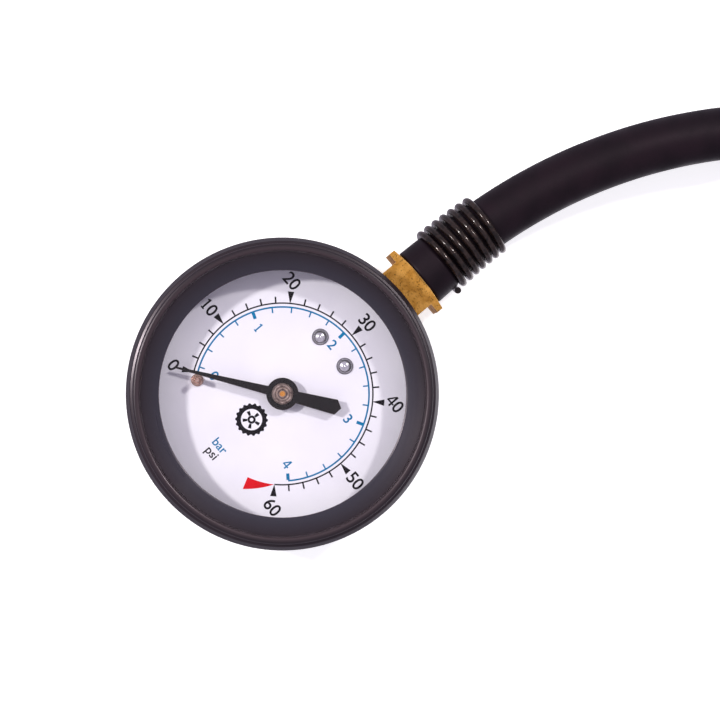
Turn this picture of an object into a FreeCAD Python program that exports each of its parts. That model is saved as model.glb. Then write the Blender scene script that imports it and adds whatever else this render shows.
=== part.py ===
import FreeCAD, Part
import math
import os
import re
import Sketcher
from FreeCAD import Placement, Rotation, Vector

# Dial tyre pressure gauge on a short rubber whip hose with a push-on chuck. Millimetres.
# +Z runs up the stem, the dial faces -Y, +X is to the dial's right. The origin is the centre
# of the flat case back. "Depth" is the distance in front of the case back, so y = -depth.
# "Clock" angles turn clockwise from the stem, as seen by someone reading the dial.

DIMENSIONS = [
    # case, bezel and window
    ("case_radius", 31.25, "outside of the pressed case"),
    ("case_wall", 1.0, "sheet of the case"),
    ("case_depth", 23.0, "case back to its front rim"),
    ("case_round", 2.5, "round at the case's back edge"),
    ("bezel_radius", 34.0, "outside of the bezel"),
    ("bezel_back", 17.0, "depth where the bezel skirt starts"),
    ("bezel_crest", 30.0, "depth of the bead's crest"),
    ("bead_radius", 31.8, "radius of the bead's crest"),
    ("bead_half", 0.7, "half the bead's width"),
    ("aperture_radius", 26.85, "edge of the bezel's lip"),
    ("lip_depth", 26.0, "depth of the lip's underside"),
    ("lip_thick", 0.5, "lip at the aperture"),
    ("seat_radius", 31.3, "bezel's bore over the case"),
    ("lens_radius", 31.0, "window disc"),
    ("lens_thick", 2.0, "window disc"),
    ("gasket_inner", 29.3, "window gasket's bore"),
    ("screw_low", 15.5, "lower case screw, above the pointer's axis"),
    ("screw_high", 26.0, "upper case screw, above the pointer's axis"),
    ("screw_hole", 1.6, "case screw's hole in the case"),
    ("screw_shank", 1.42, "case screw's shank"),
    ("plug_down", 16.0, "blow-out plug, below the pointer's axis"),
    ("plug_hole", 4.0, "blow-out plug's hole"),
    # dial and pointer
    ("dial_radius", 30.1, "dial plate"),
    ("dial_depth", 19.0, "depth of the printed face"),
    ("dial_thick", 0.6, "dial plate"),
    ("rivet_across", 4.2, "rivet centres, to each side of the stem line"),
    ("rivet_up", 14.5, "rivet centres, above the pointer's axis"),
    ("rivet_head", 1.85, "radius of a rivet head"),
    ("rivet_tall", 1.3, "height of a rivet head"),
    ("rivet_shank", 0.75, "radius of a rivet's shank"),
    ("stop_reach", 18.9, "stop pin from the pointer's axis"),
    ("stop_clock", -130.7, "stop pin's clock angle"),
    ("stop_radius", 0.57, "stop pin's post"),
    ("stop_collar", 1.05, "stop pin's collar around the post"),
    ("stop_foot", 1.38, "stop pin's foot on the dial"),
    ("stop_shank", 0.7, "stop pin's shank through the dial"),
    ("stop_height", 4.4, "stop pin above the dial"),
    ("pointer_depth", 21.0, "depth of the pointer's underside"),
    ("pointer_thick", 0.4, "pointer blade"),
    ("pointer_length", 24.3, "axis to the pointer's tip"),
    ("pointer_hub", 3.55, "radius of the pointer's disc"),
    ("tail_length", 13.3, "axis to the end of the pointer's tail"),
    ("bush_radius", 2.32, "rim of the pointer's bush"),
    ("bush_neck", 1.58, "bush inside the pointer's hole"),
    ("spindle_radius", 0.6, "spindle that carries the pointer"),
    ("rest_clock", -126.0, "pointer's clock angle at zero pressure"),
    # socket, stem and hose
    ("stem_depth", 10.0, "depth of the stem's axis"),
    ("shank_half", 6.1, "half the width of the socket block"),
    ("shank_front", 16.0, "depth of the socket's front face"),
    ("shank_back", 4.0, "depth of the shank's back face"),
    ("block_bottom", 11.0, "height of the block's lower end"),
    ("block_top", 27.9, "height of the block inside the case"),
    ("flange_half", 8.4, "half the width of the flange"),
    ("flange_bottom", 38.2, "height of the flange's underside"),
    ("flange_top", 40.3, "height of the flange's end"),
    ("barb_radius", 3.85, "crest of a hose barb"),
    ("barb_root", 3.4, "root of a hose barb"),
    ("barb_pitch", 2.6, "one hose barb to the next"),
    ("stem_bore", 1.5, "gas passage"),
    ("hose_radius", 6.0, "outside of the hose"),
    ("hose_bore", 3.0, "inside of the hose"),
    ("hose_end_radius", 7.0, "hose stretched over a barb"),
    ("sleeve_length", 9.2, "straight stretched end of the hose"),
    ("first_bend", 120.0, "hose bend next to the gauge"),
    ("first_turn", 31.5, "turn of the first bend"),
    ("second_bend", 60.0, "hose bend at the top of the arch"),
    ("chuck_shoulder", 0.0, "height of the chuck's hose shoulder"),
    ("chuck_length", 34.0, "chuck's mouth to its hose shoulder"),
    ("valve_radius", 4.1, "socket for a tyre valve"),
    ("valve_reach", 7.5, "length of the valve socket"),
    ("nose_radius", 6.8, "chuck's screwed nose ring"),
    ("nose_length", 9.0, "nose ring below the barrel"),
    ("spigot_radius", 4.95, "nose ring's spigot inside the barrel"),
    ("spigot_bore", 4.5, "nose ring's bore behind the valve socket"),
    ("grip_radius", 7.5, "chuck's barrel"),
    ("grip_end", 6.9, "barrel's upper end, below the hose shoulder"),
    ("hex_across", 14.0, "hexagon, across its flats"),
    ("hex_tall", 5.8, "hexagon's height"),
    ("flute_reach", 8.0, "centre of a grip flute from the chuck's axis"),
    ("flute_radius", 0.8, "grip flute"),
    # spring guards
    ("guard_start", 5.1, "start of a guard past the end of the hose"),
    ("guard_pitch", 2.03, "one coil to the next"),
    ("guard_turns", 7.15, "coils"),
    ("guard_flare", 0.37, "how far the cut end of the wire stands out"),
    ("guard_wide", 7.35, "wire's centre radius at the wide end"),
    ("guard_narrow", 6.8, "wire's centre radius at the narrow end"),
    ("guard_lean", 0.9, "share of the climb made behind the hose: 0 is a plain helix"),
    ("wire_radius", 0.75, "guard's wire"),
    # movement
    ("plate_thick", 1.0, "movement plates"),
    ("back_plate", 5.0, "depth of the back plate's underside"),
    ("front_plate", 14.0, "depth of the front plate's underside"),
    ("gear_module", 0.25, "pinion and sector"),
    ("pinion_teeth", 12, "teeth on the pinion"),
    ("sector_teeth", 96, "teeth of the whole wheel the sector is cut from"),
    ("sector_clock", 150.0, "clock angle of the sector's pivot"),
    ("sector_depth", 9.6, "depth of the sector's underside"),
    ("sector_thick", 0.8, "sector plate"),
    ("arm_length", 4.5, "sector's pivot to the link pin"),
    ("arm_clock", 164.2, "clock angle of the sector's arm at rest"),
    ("pivot_radius", 0.3, "arbor pivots"),
    ("pin_radius", 0.4, "link pins"),
    ("link_thick", 0.6, "link"),
    ("pillar_radius", 1.1, "movement pillars"),
    ("pillar_tenon", 0.6, "pillar's end in the back plate"),
    ("foot_across", 3.6, "movement screws, to each side of the stem line"),
    ("foot_down", 3.0, "movement screws, below the block's lower end"),
    ("link_slack", 0.175, "radial play on the sector's end of the link"),
    ("tube_radius", 23.0, "Bourdon tube, mean radius"),
    ("tube_flat", 3.0, "Bourdon tube, radial size"),
    ("tube_tall", 10.0, "Bourdon tube, size along the dial's axis"),
    ("tube_wall", 0.4, "Bourdon tube, wall"),
    ("tube_end", 129.0, "clock angle of the tube's closed end"),
    ("tube_root", 352.0, "clock angle of the tube's open end in the socket"),
    ("tube_swing", 3.75, "turn of the tube's tip about its root at full scale"),
    ("full_swing", 270.0, "pointer's turn from rest to the end of the scale"),
]

os.makedirs("parts", exist_ok=True)
doc = FreeCAD.newDocument("tyre_gauge")
WORDS = {word for word, value, meaning in DIMENSIONS}
nodes = []


def write_sheet():
    sheet = doc.addObject("Spreadsheet::Sheet", "Dims")
    for row, (word, value, meaning) in enumerate(DIMENSIONS, start=1):
        sheet.set("A%d" % row, meaning)
        sheet.set("B%d" % row, str(value))
        sheet.setAlias("B%d" % row, word)
    doc.recompute()
    return sheet


dims = write_sheet()


# ---- helpers: expressions, sketches and features ------------------------------------------

def linked(text):
    """An expression in the sheet's words, as other objects have to write it."""
    def link_word(hit):
        word = hit.group()
        return "Dims." + word if word in WORDS else word

    return re.sub("[a-z_]+", link_word, str(text))


def bind(item, **texts):
    """Ties properties to the sheet; a double underscore stands for the dot in a property path."""
    for path, text in texts.items():
        item.setExpression(path.replace("__", "."), linked(text))


def keep(item, label):
    """Names a finished sub-part's node."""
    item.Label = label
    nodes.append(item)
    return item


def pin_point(sketch, line, end, across, up):
    """Holds one end of a sketch line at two coordinates."""
    for kind, text in (("DistanceX", across), ("DistanceY", up)):
        index = sketch.addConstraint(Sketcher.Constraint(kind, -1, 1, line, end, 1.0))
        sketch.setExpression("Constraints[%d]" % index, linked(text))


def outline(sketch, corners):
    """A closed outline of straight lines through corners given as expressions."""
    first = sketch.GeometryCount
    count = len(corners)
    seeds = [Vector(math.cos(6.28 * k / count), math.sin(6.28 * k / count), 0) for k in range(count)]
    for k in range(count):
        sketch.addGeometry(Part.LineSegment(seeds[k], seeds[(k + 1) % count]), False)
    for k in range(count):
        sketch.addConstraint(Sketcher.Constraint("Coincident", first + k, 2, first + (k + 1) % count, 1))
        pin_point(sketch, first + k, 1, *corners[k])


def circle(sketch, across, up, radius):
    index = sketch.addGeometry(Part.Circle(Vector(1, 1, 0), Vector(0, 0, 1), 1.0), False)
    pin_point(sketch, index, 3, across, up)
    bound = sketch.addConstraint(Sketcher.Constraint("Radius", index, 1.0))
    sketch.setExpression("Constraints[%d]" % bound, linked(radius))


def rectangle(left, right, low, high):
    return [(left, low), (right, low), (right, high), (left, high)]


def turned_about_y(corners):
    """Lathe corners (radius, depth) as sketch coordinates, for an axis along Y."""
    return [(radius, "-(%s)" % depth) for radius, depth in corners]


def new_body(name):
    return doc.addObject("PartDesign::Body", name)


def sketch_on(body, role, name, offset="0"):
    """A sketch on one of the body's own origin planes, moved along the plane's normal."""
    plane = [item for item in body.Origin.OriginFeatures if item.Role == role][0]
    sketch = body.newObject("Sketcher::SketchObject", name)
    sketch.AttachmentSupport = (plane, [""])
    sketch.MapMode = "FlatFace"
    bind(sketch, AttachmentOffset__Base__z=offset)
    return sketch


def face_sketch(body, name, depth="0"):
    """A sketch parallel to the dial: its normal points out of the dial, so its offset is a depth."""
    return sketch_on(body, "XZ_Plane", name, depth)


def pad(body, sketch, length):
    feature = body.newObject("PartDesign::Pad", sketch.Name + "_pad")
    feature.Profile = (sketch, [""])
    bind(feature, Length=length)
    return feature


def pocket(body, sketch, length, forwards=True):
    """A pocket; forwards cuts along the sketch's normal."""
    feature = body.newObject("PartDesign::Pocket", sketch.Name + "_cut")
    feature.Profile = (sketch, [""])
    feature.Reversed = forwards
    bind(feature, Length=length)
    return feature


def revolve(body, sketch, kind="Revolution", angle="360"):
    """Turns a sketch about its own vertical axis."""
    feature = body.newObject("PartDesign::" + kind, sketch.Name + "_turn")
    feature.Profile = (sketch, [""])
    feature.ReferenceAxis = (sketch, ["V_Axis"])
    bind(feature, Angle=angle)
    return feature


def ring_edges(shape, rings):
    """Names of the circular edges about the dial's axis at each (radius, depth)."""
    names = []
    for index, edge in enumerate(shape.Edges, start=1):
        if not hasattr(edge.Curve, "Radius"):
            continue
        for radius, depth in rings:
            if abs(edge.Curve.Radius - radius) < 1e-4 and abs(edge.Curve.Center.y + depth) < 1e-4:
                names.append("Edge%d" % index)
    return names


def dress(body, base, edges, kind="Fillet", **sizes):
    feature = body.newObject("PartDesign::" + kind, "%s_%s" % (base.Name, kind.lower()))
    feature.Base = (base, edges)
    bind(feature, **sizes)
    return feature


def turned(name, corners, upright=False, **place):
    """A small lathe part from corners (radius, depth), or (radius, height) when upright."""
    sketch = doc.addObject("Sketcher::SketchObject", name + "_profile")
    outline(sketch, corners if upright else turned_about_y(corners))
    part = doc.addObject("Part::Revolution", name)
    part.Source = sketch
    part.Axis = Vector(0, 1, 0)
    part.Angle = 360
    part.Solid = True
    if upright:
        part.Placement.Rotation = Rotation(Vector(1, 0, 0), 90)
    bind(part, **{"Placement__Base__" + axis: text for axis, text in place.items()})
    return part


def group(name, members):
    """Separate identical solids that share one node."""
    compound = doc.addObject("Part::Compound", name)
    compound.Links = members
    return compound


def cut(name, base, tool):
    feature = doc.addObject("Part::Cut", name)
    feature.Base = base
    feature.Tool = tool
    return feature


def box(name, left, right, front, back, low, high):
    """A block between x, depth and z limits, given as expressions."""
    item = doc.addObject("Part::Box", name)
    bind(item, Length="%s-(%s)" % (right, left), Width="%s-(%s)" % (front, back))
    bind(item, Height="%s-(%s)" % (high, low))
    bind(item, Placement__Base__x=left, Placement__Base__y="-(%s)" % front, Placement__Base__z=low)
    return item


def shaped(name, shape):
    """A node whose shape comes from Part's own functions."""
    feature = doc.addObject("Part::Feature", name)
    feature.Shape = shape
    feature.Placement = Placement()
    return feature


def clock_point(centre, reach, clock, depth):
    """The point at a reach and clock angle from a centre in the dial's plane."""
    angle = math.radians(clock)
    return Vector(centre.x + reach * math.sin(angle), -depth, centre.z + reach * math.cos(angle))


# ---- case, bezel and window ---------------------------------------------------------------

SCREW_HEIGHTS = ["screw_low", "screw_high"]
PLUG_HEIGHT = "-plug_down"
SLOT_HALF = "shank_half + 1.0"
SLOT_BACK = "shank_back - 1.0"


def make_case():
    """A deep-drawn cup, open to the front, with a slot for the stem and holes in its back."""
    body = new_body("case")
    profile = sketch_on(body, "XY_Plane", "case_profile")
    inner = "case_radius - case_wall"
    outline(profile, turned_about_y([
        ("0", "0"), ("case_radius", "0"), ("case_radius", "case_depth"),
        (inner, "case_depth"), (inner, "case_wall"), ("0", "case_wall")]))
    cup = revolve(body, profile)
    doc.recompute()
    outer_edge = ring_edges(cup.Shape, [(dims.case_radius, 0)])
    outer = dress(body, cup, outer_edge, Radius="case_round")
    doc.recompute()
    inner_edge = ring_edges(outer.Shape, [(dims.case_radius - dims.case_wall, dims.case_wall)])
    dress(body, outer, inner_edge, Radius="case_round - case_wall")
    holes = face_sketch(body, "case_holes")
    for height in SCREW_HEIGHTS:
        circle(holes, "0", height, "screw_hole")
    circle(holes, "0", PLUG_HEIGHT, "plug_hole")
    pocket(body, holes, "case_wall + 1")
    slot = face_sketch(body, "case_slot", SLOT_BACK)
    outline(slot, rectangle("-(%s)" % SLOT_HALF, SLOT_HALF, "case_radius - 8", "case_radius + 2"))
    opened = pocket(body, slot, "case_depth")
    doc.recompute()
    screw_rims = ring_edges(opened.Shape, [(dims.screw_hole, 0)])
    dress(body, opened, screw_rims, "Chamfer", Size="case_wall - 0.05")
    return keep(body, "case")


def make_bezel():
    """A moulded ring: skirt over the case rim, raised bead, and a cone down to the lip."""
    body = new_body("bezel")
    profile = sketch_on(body, "XY_Plane", "bezel_profile")
    bead_outer = "bead_radius + bead_half"
    bead_inner = "bead_radius - bead_half"
    lip_front = "lip_depth + lip_thick"
    outline(profile, turned_about_y([
        ("seat_radius", "bezel_back"), ("bezel_radius - 0.4", "bezel_back"),
        ("bezel_radius", "bezel_back + 0.6"), ("bezel_radius", "bezel_crest - 3.6"),
        ("bezel_radius - 0.9", "bezel_crest - 1.7"), (bead_outer, "bezel_crest - 1.5"),
        (bead_outer, "bezel_crest - 0.1"), (bead_inner, "bezel_crest"),
        (bead_inner + " - 0.4", "bezel_crest - 1.0"), ("aperture_radius + 0.3", lip_front),
        ("aperture_radius", lip_front + " - 0.15"), ("aperture_radius", "lip_depth"),
        ("seat_radius", "lip_depth")]))
    ring = revolve(body, profile)
    doc.recompute()
    bead_rings = [(dims.bead_radius + dims.bead_half, dims.bezel_crest - 0.1),
                  (dims.bead_radius - dims.bead_half, dims.bezel_crest)]
    bead = dress(body, ring, ring_edges(ring.Shape, bead_rings), Radius="bead_half - 0.06")
    doc.recompute()
    soft_rings = [(dims.bezel_radius, dims.bezel_crest - 3.6),
                  (dims.bezel_radius - 0.9, dims.bezel_crest - 1.7),
                  (dims.bead_radius - dims.bead_half - 0.4, dims.bezel_crest - 1.0)]
    dress(body, bead, ring_edges(bead.Shape, soft_rings), Radius="0.35")
    return keep(body, "bezel")


def make_window():
    """The clear disc clamped between the bezel's lip and the gasket on the case rim."""
    body = new_body("window")
    profile = sketch_on(body, "XY_Plane", "window_profile")
    back = "lip_depth - lens_thick"
    outline(profile, turned_about_y([
        ("0", back), ("lens_radius - 0.2", back), ("lens_radius", back + " + 0.2"),
        ("lens_radius", "lip_depth - 0.2"), ("lens_radius - 0.2", "lip_depth"), ("0", "lip_depth")]))
    revolve(body, profile)
    return keep(body, "window")


def make_window_gasket():
    body = new_body("window_gasket")
    profile = sketch_on(body, "XY_Plane", "gasket_profile")
    outer = "case_radius - 0.15"
    outline(profile, turned_about_y([
        ("gasket_inner", "case_depth"), (outer, "case_depth"), (outer, "lip_depth - lens_thick"),
        ("gasket_inner", "lip_depth - lens_thick")]))
    revolve(body, profile)
    return keep(body, "window_gasket")


def make_case_fastenings():
    """Two countersunk screws hold the case to the socket; each has a driver slot."""
    screws = []
    for index, height in enumerate(SCREW_HEIGHTS):
        blank = turned("case_screw_blank_%d" % index, [
            ("0", "0.05"), ("2.35", "0.05"), ("screw_shank", "case_wall - 0.02"),
            ("screw_shank", "6.5"), ("0", "6.8")], z=height)
        driver = box("case_screw_slot_%d" % index, "-2.6", "2.6", "0.55", "-0.5",
                     height + " - 0.35", height + " + 0.35")
        screws.append(cut("case_screw_%d" % index, blank, driver))
    return keep(group("case_screws", screws), "case_screws")


def make_blowout_plug():
    """A rubber disc in the case back that lets go if the tube ever bursts."""
    neck = "plug_hole - 0.05"
    plug = turned("blowout_plug", [
        ("0", "0.1"), ("plug_hole - 0.4", "0.1"), (neck, "0.4"), (neck, "case_wall + 0.02"),
        ("plug_hole + 1.2", "case_wall + 0.02"), ("plug_hole + 1.0", "case_wall + 1.0"),
        ("0", "case_wall + 1.0")], z=PLUG_HEIGHT)
    return keep(plug, "blowout_plug")


# ---- dial, its fastenings and the pointer -------------------------------------------------

def make_dial():
    body = new_body("dial")
    plan = face_sketch(body, "dial_plan", "dial_depth - dial_thick")
    circle(plan, "0", "0", "dial_radius")
    circle(plan, "0", "0", "2.0")
    for side in ("rivet_across", "-rivet_across"):
        circle(plan, side, "rivet_up", "rivet_shank + 0.05")
    circle(plan, "stop_reach * sin(stop_clock)", "stop_reach * cos(stop_clock)", "stop_shank + 0.02")
    pad(body, plan, "dial_thick")
    return keep(body, "dial")


def make_dial_rivets():
    """Two drive pins with smooth domed heads, through the dial into the socket."""
    ball_size = "(rivet_head ^ 2 + rivet_tall ^ 2) / (2 * rivet_tall)"
    rivets = []
    for side in ("rivet_across", "-rivet_across"):
        count = len(rivets)
        slab = turned("rivet_slab_%d" % count, [
            ("0", "dial_depth"), ("rivet_head + 0.5", "dial_depth"),
            ("rivet_head + 0.5", "dial_depth + rivet_tall + 0.5"), ("0", "dial_depth + rivet_tall + 0.5")],
            x=side, z="rivet_up")
        ball = doc.addObject("Part::Sphere", "rivet_ball_%d" % count)
        ball.Placement.Rotation = Rotation(Vector(1, 0, 0), 90)
        bind(ball, Radius=ball_size, Placement__Base__x=side, Placement__Base__z="rivet_up")
        bind(ball, Placement__Base__y="%s - dial_depth - rivet_tall" % ball_size)
        head = doc.addObject("Part::Common", "rivet_head_%d" % count)
        head.Base = slab
        head.Tool = ball
        shank = turned("rivet_shank_%d" % count, [
            ("0", "dial_depth - 4"), ("rivet_shank", "dial_depth - 4"), ("rivet_shank", "dial_depth"),
            ("0", "dial_depth")], x=side, z="rivet_up")
        rivet = doc.addObject("Part::Fuse", "rivet_%d" % count)
        rivet.Base = head
        rivet.Tool = shank
        rivet.Refine = True
        rivets.append(rivet)
    return keep(group("dial_rivets", rivets), "dial_rivets")


def make_stop_pin():
    """The post that the pointer leans towards at zero, on a turned foot riveted behind the dial."""
    top = "dial_depth + stop_height"
    back = "dial_depth - dial_thick"
    pin = turned("stop_pin", [
        ("0", back + " - 0.4"), ("stop_shank + 0.3", back + " - 0.4"), ("stop_shank + 0.3", back),
        ("stop_shank", back), ("stop_shank", "dial_depth"), ("stop_foot", "dial_depth"),
        ("stop_foot", "dial_depth + 0.3"), ("stop_collar + 0.15", "dial_depth + 0.45"),
        ("stop_collar", "dial_depth + 0.4"), ("stop_collar", "dial_depth + 0.85"),
        ("stop_collar - 0.2", "dial_depth + 1.0"), ("stop_radius", "dial_depth + 0.8"),
        ("stop_radius", top + " - 0.2"), ("stop_radius - 0.2", top), ("0", top)],
        x="stop_reach * sin(stop_clock)", z="stop_reach * cos(stop_clock)")
    return keep(pin, "stop_pin")


def make_pointer():
    """A flat blade drawn pointing up the stem, then turned to its rest angle."""
    body = new_body("pointer")
    blade = face_sketch(body, "pointer_blade", "pointer_depth")
    right_side = [
        ("0.2", "pointer_length - 0.15"), ("1.0", "2.0"), ("1.3", "-3.0"), ("1.68", "1.17 - tail_length")]
    left_side = [("-" + across, up) for across, up in reversed(right_side)]
    outline(blade, [("0", "pointer_length")] + right_side + [("0", "-tail_length")] + left_side)
    pad(body, blade, "pointer_thick")
    hub = face_sketch(body, "pointer_hub_disc", "pointer_depth")
    circle(hub, "0", "0", "pointer_hub")
    pad(body, hub, "pointer_thick")
    eye = face_sketch(body, "pointer_eye", "pointer_depth - 1")
    circle(eye, "0", "0", "bush_neck + 0.02")
    pocket(body, eye, "pointer_thick + 2")
    body.Placement.Rotation = Rotation(Vector(0, 1, 0), dims.rest_clock)
    return keep(body, "pointer")


def make_pointer_bushing():
    """The turned bush that grips the blade and presses onto the spindle."""
    front = "pointer_depth + pointer_thick"
    bore = "spindle_radius + 0.01"
    collar = "bush_radius - 0.22"
    bush = turned("pointer_bushing", [
        (bore, "pointer_depth - 0.9"), (collar, "pointer_depth - 0.9"), (collar, "pointer_depth - 0.01"),
        ("bush_neck", "pointer_depth - 0.01"), ("bush_neck", front + " + 0.01"),
        ("bush_radius", front + " + 0.01"), ("bush_radius", front + " + 0.35"),
        (collar, front + " + 0.5"), ("1.5", front + " + 0.5"), ("1.35", front + " + 0.38"),
        (bore, front + " + 0.38")])
    return keep(bush, "pointer_bushing")


# ---- socket, hose and spring guards -------------------------------------------------------

def barb_corners(base, bore):
    """Three hose barbs above a shoulder, as (radius, height) corners round a gas passage."""
    corners = [(bore, base + " - 0.5"), ("barb_root", base + " - 0.5"), ("barb_root", base + " + 0.6")]
    for barb in range(3):
        foot = "%s + 0.6 + %d * barb_pitch" % (base, barb)
        corners.append(("barb_radius", foot + " + 0.1"))
        corners.append(("barb_radius", foot + " + 0.5"))
        corners.append(("barb_root", foot + " + barb_pitch - 0.1"))
    corners.append((bore, "%s + 0.6 + 3 * barb_pitch - 0.1" % base))
    return corners


def make_socket():
    """The brass body: block on the case back, foot for the movement, shank, flange and barbs."""
    body = new_body("socket")
    front = "shank_front"
    levels = [
        ("block", "shank_half", "block_bottom", "block_top", "case_wall", front),
        ("foot", "shank_half", "block_bottom - 6.5", "block_bottom", "case_wall", "back_plate"),
        ("shank", "shank_half", "block_top", "flange_bottom", "shank_back", front),
        ("flange", "flange_half", "flange_bottom", "flange_top", "shank_back", front),
        ("dial_seat", "shank_half", "block_bottom", "block_bottom + 7", front,
         "dial_depth - dial_thick")]
    for name, half, low, high, back, face in levels:
        plan = face_sketch(body, "socket_" + name, back)
        outline(plan, rectangle("-" + half, half, low, high))
        pad(body, plan, "%s - (%s)" % (face, back))
    facing = face_sketch(body, "socket_facing", "stem_depth")
    outline(facing, [("6.6", "flange_top"), ("12", "flange_top - 1.0"), ("12", "flange_top + 1"),
                     ("6.6", "flange_top + 1")])
    revolve(body, facing, "Groove")
    barbs = face_sketch(body, "socket_barbs", "stem_depth")
    outline(barbs, barb_corners("flange_top", "stem_bore"))
    revolve(body, barbs)
    passage = face_sketch(body, "socket_passage", "stem_depth")
    outline(passage, rectangle("0", "stem_bore", "20", "flange_top + 12"))
    revolve(body, passage, "Groove")
    tube_slot = face_sketch(body, "socket_tube_slot", "stem_depth - tube_tall / 2 - 0.1")
    outline(tube_slot, rectangle("-shank_half - 1", "-2.9", "20.3", "24.7"))
    pocket(body, tube_slot, "tube_tall + 0.2")
    port = sketch_on(body, "YZ_Plane", "socket_port")
    circle(port, "-stem_depth", "22.5", "0.8")
    pocket(body, port, "3.5", forwards=False)
    rivet_holes = face_sketch(body, "socket_rivet_holes", "dial_depth - 5")
    for side in ("rivet_across", "-rivet_across"):
        circle(rivet_holes, side, "rivet_up", "rivet_shank + 0.02")
    pocket(body, rivet_holes, "6")
    screw_holes = face_sketch(body, "socket_screw_holes")
    for height in SCREW_HEIGHTS:
        circle(screw_holes, "0", height, "screw_shank + 0.03")
    pocket(body, screw_holes, "7.2")
    foot_holes = face_sketch(body, "socket_foot_holes", "2.0")
    for side in ("foot_across", "-foot_across"):
        circle(foot_holes, side, "block_bottom - foot_down", "1.02")
    pocket(body, foot_holes, "4")
    return keep(body, "socket")


def make_restrictor():
    """A plug with a pin hole that damps pressure shocks on the tube."""
    plug = turned("restrictor", [
        ("0.3", "26"), ("stem_bore - 0.01", "26"), ("stem_bore - 0.01", "30"), ("0.3", "30")],
        upright=True, y="-stem_depth")
    return keep(plug, "restrictor")


def make_stem_grommet():
    """A rubber filler that closes the case's slot round the shank."""
    slab = box("grommet_slab", "-shank_half - 0.9", "shank_half + 0.9",
               "case_depth - 0.05", "shank_back - 0.9", "case_radius - 6", "case_radius + 1")
    hole = box("grommet_hole", "-shank_half - 0.02", "shank_half + 0.02",
               "shank_front + 0.02", "shank_back - 0.02", "case_radius - 7", "case_radius + 2")
    solid_ring = turned("grommet_ring", [
        ("case_radius - case_wall", "0"), ("case_radius", "0"), ("case_radius", "case_depth"),
        ("case_radius - case_wall", "case_depth")])
    curved = doc.addObject("Part::Common", "grommet_curved")
    curved.Base = slab
    curved.Tool = solid_ring
    return keep(cut("stem_grommet", curved, hole), "stem_grommet")


def hose_centres():
    """The end of the first bend, the second bend's centre and the chuck's x, all in the hose's plane."""
    turn = math.radians(dims.first_turn)
    start = dims.flange_top + dims.sleeve_length
    meet = Vector(dims.first_bend * (1 - math.cos(turn)), -dims.stem_depth,
                  start + dims.first_bend * math.sin(turn))
    middle = meet + Vector(math.cos(turn), 0, -math.sin(turn)) * dims.second_bend
    return start, meet, middle, middle.x + dims.second_bend


def hose_path():
    """The hose's centreline: up from the gauge, over two tangent bends, and down to the chuck."""
    start, meet, middle, chuck_x = hose_centres()
    depth = -dims.stem_depth
    foot = Vector(0, depth, start)
    half = math.radians(dims.first_turn / 2)
    rise = Vector(1 - math.cos(half), 0, math.sin(half)) * dims.first_bend
    first = Part.Arc(foot, foot + rise, meet)
    lead = math.radians((90 - dims.first_turn) / 2)
    crest = middle + Vector(-math.sin(lead), 0, math.cos(lead)) * dims.second_bend
    leg_top = Vector(chuck_x, depth, middle.z)
    second = Part.Arc(meet, crest, leg_top)
    leg = Part.LineSegment(leg_top, Vector(chuck_x, depth, dims.chuck_shoulder + dims.sleeve_length))
    return Part.Wire([first.toShape(), second.toShape(), leg.toShape()])


def sleeve():
    """The straight end of the hose stretched over the barbs, made standing on a shoulder at z = 0."""
    length = dims.sleeve_length
    clearance = 0.05
    stretched = dims.barb_radius + clearance
    outside = [(dims.hose_end_radius - 0.25, clearance), (dims.hose_end_radius, clearance + 0.3),
               (dims.hose_end_radius - 0.15, dims.guard_start + 0.5),
               (dims.hose_radius + 0.45, dims.guard_start + 1.2), (dims.hose_radius, length)]
    inside = [(dims.hose_bore, length), (stretched, length - 0.9), (stretched, clearance)]
    corners = [Vector(radius, 0, height) for radius, height in outside + inside]
    face = Part.Face(Part.makePolygon(corners + corners[:1]))
    return face.revolve(Vector(0, 0, 0), Vector(0, 0, 1), 360)


def make_hose():
    """Rubber hose in an arch, each end stretched over its barbs and squeezed by its spring guard."""
    start, meet, middle, chuck_x = hose_centres()
    path = hose_path()
    foot = Vector(0, -dims.stem_depth, start)
    rings = []
    for radius in (dims.hose_radius, dims.hose_bore):
        rim = Part.Wire(Part.makeCircle(radius, foot, Vector(0, 0, 1)))
        rings.append(path.makePipeShell([rim], True, False))
    run = rings[0].cut(rings[1])
    gauge_end = sleeve()
    gauge_end.translate(Vector(0, -dims.stem_depth, dims.flange_top))
    chuck_end = sleeve()
    chuck_end.translate(Vector(chuck_x, -dims.stem_depth, dims.chuck_shoulder))
    return keep(shaped("hose", run.fuse([gauge_end, chuck_end]).removeSplitter()), "hose")


def along_hose(travel):
    """A point on the first part of the centreline, a travel past the flange, and its sideways direction."""
    start, meet, middle, chuck_x = hose_centres()
    past = travel - dims.sleeve_length
    turn = max(0.0, past) / dims.first_bend
    side = Vector(math.cos(turn), 0, -math.sin(turn))
    if past <= 0:
        return Vector(0, -dims.stem_depth, dims.flange_top + travel), side
    bend_x = dims.first_bend * (1 - math.cos(turn))
    return Vector(bend_x, -dims.stem_depth, start + dims.first_bend * math.sin(turn)), side


def up_the_leg(travel):
    """The same for the straight leg above the chuck."""
    chuck_x = hose_centres()[3]
    return Vector(chuck_x, -dims.stem_depth, dims.chuck_shoulder + travel), Vector(1, 0, 0)


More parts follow.
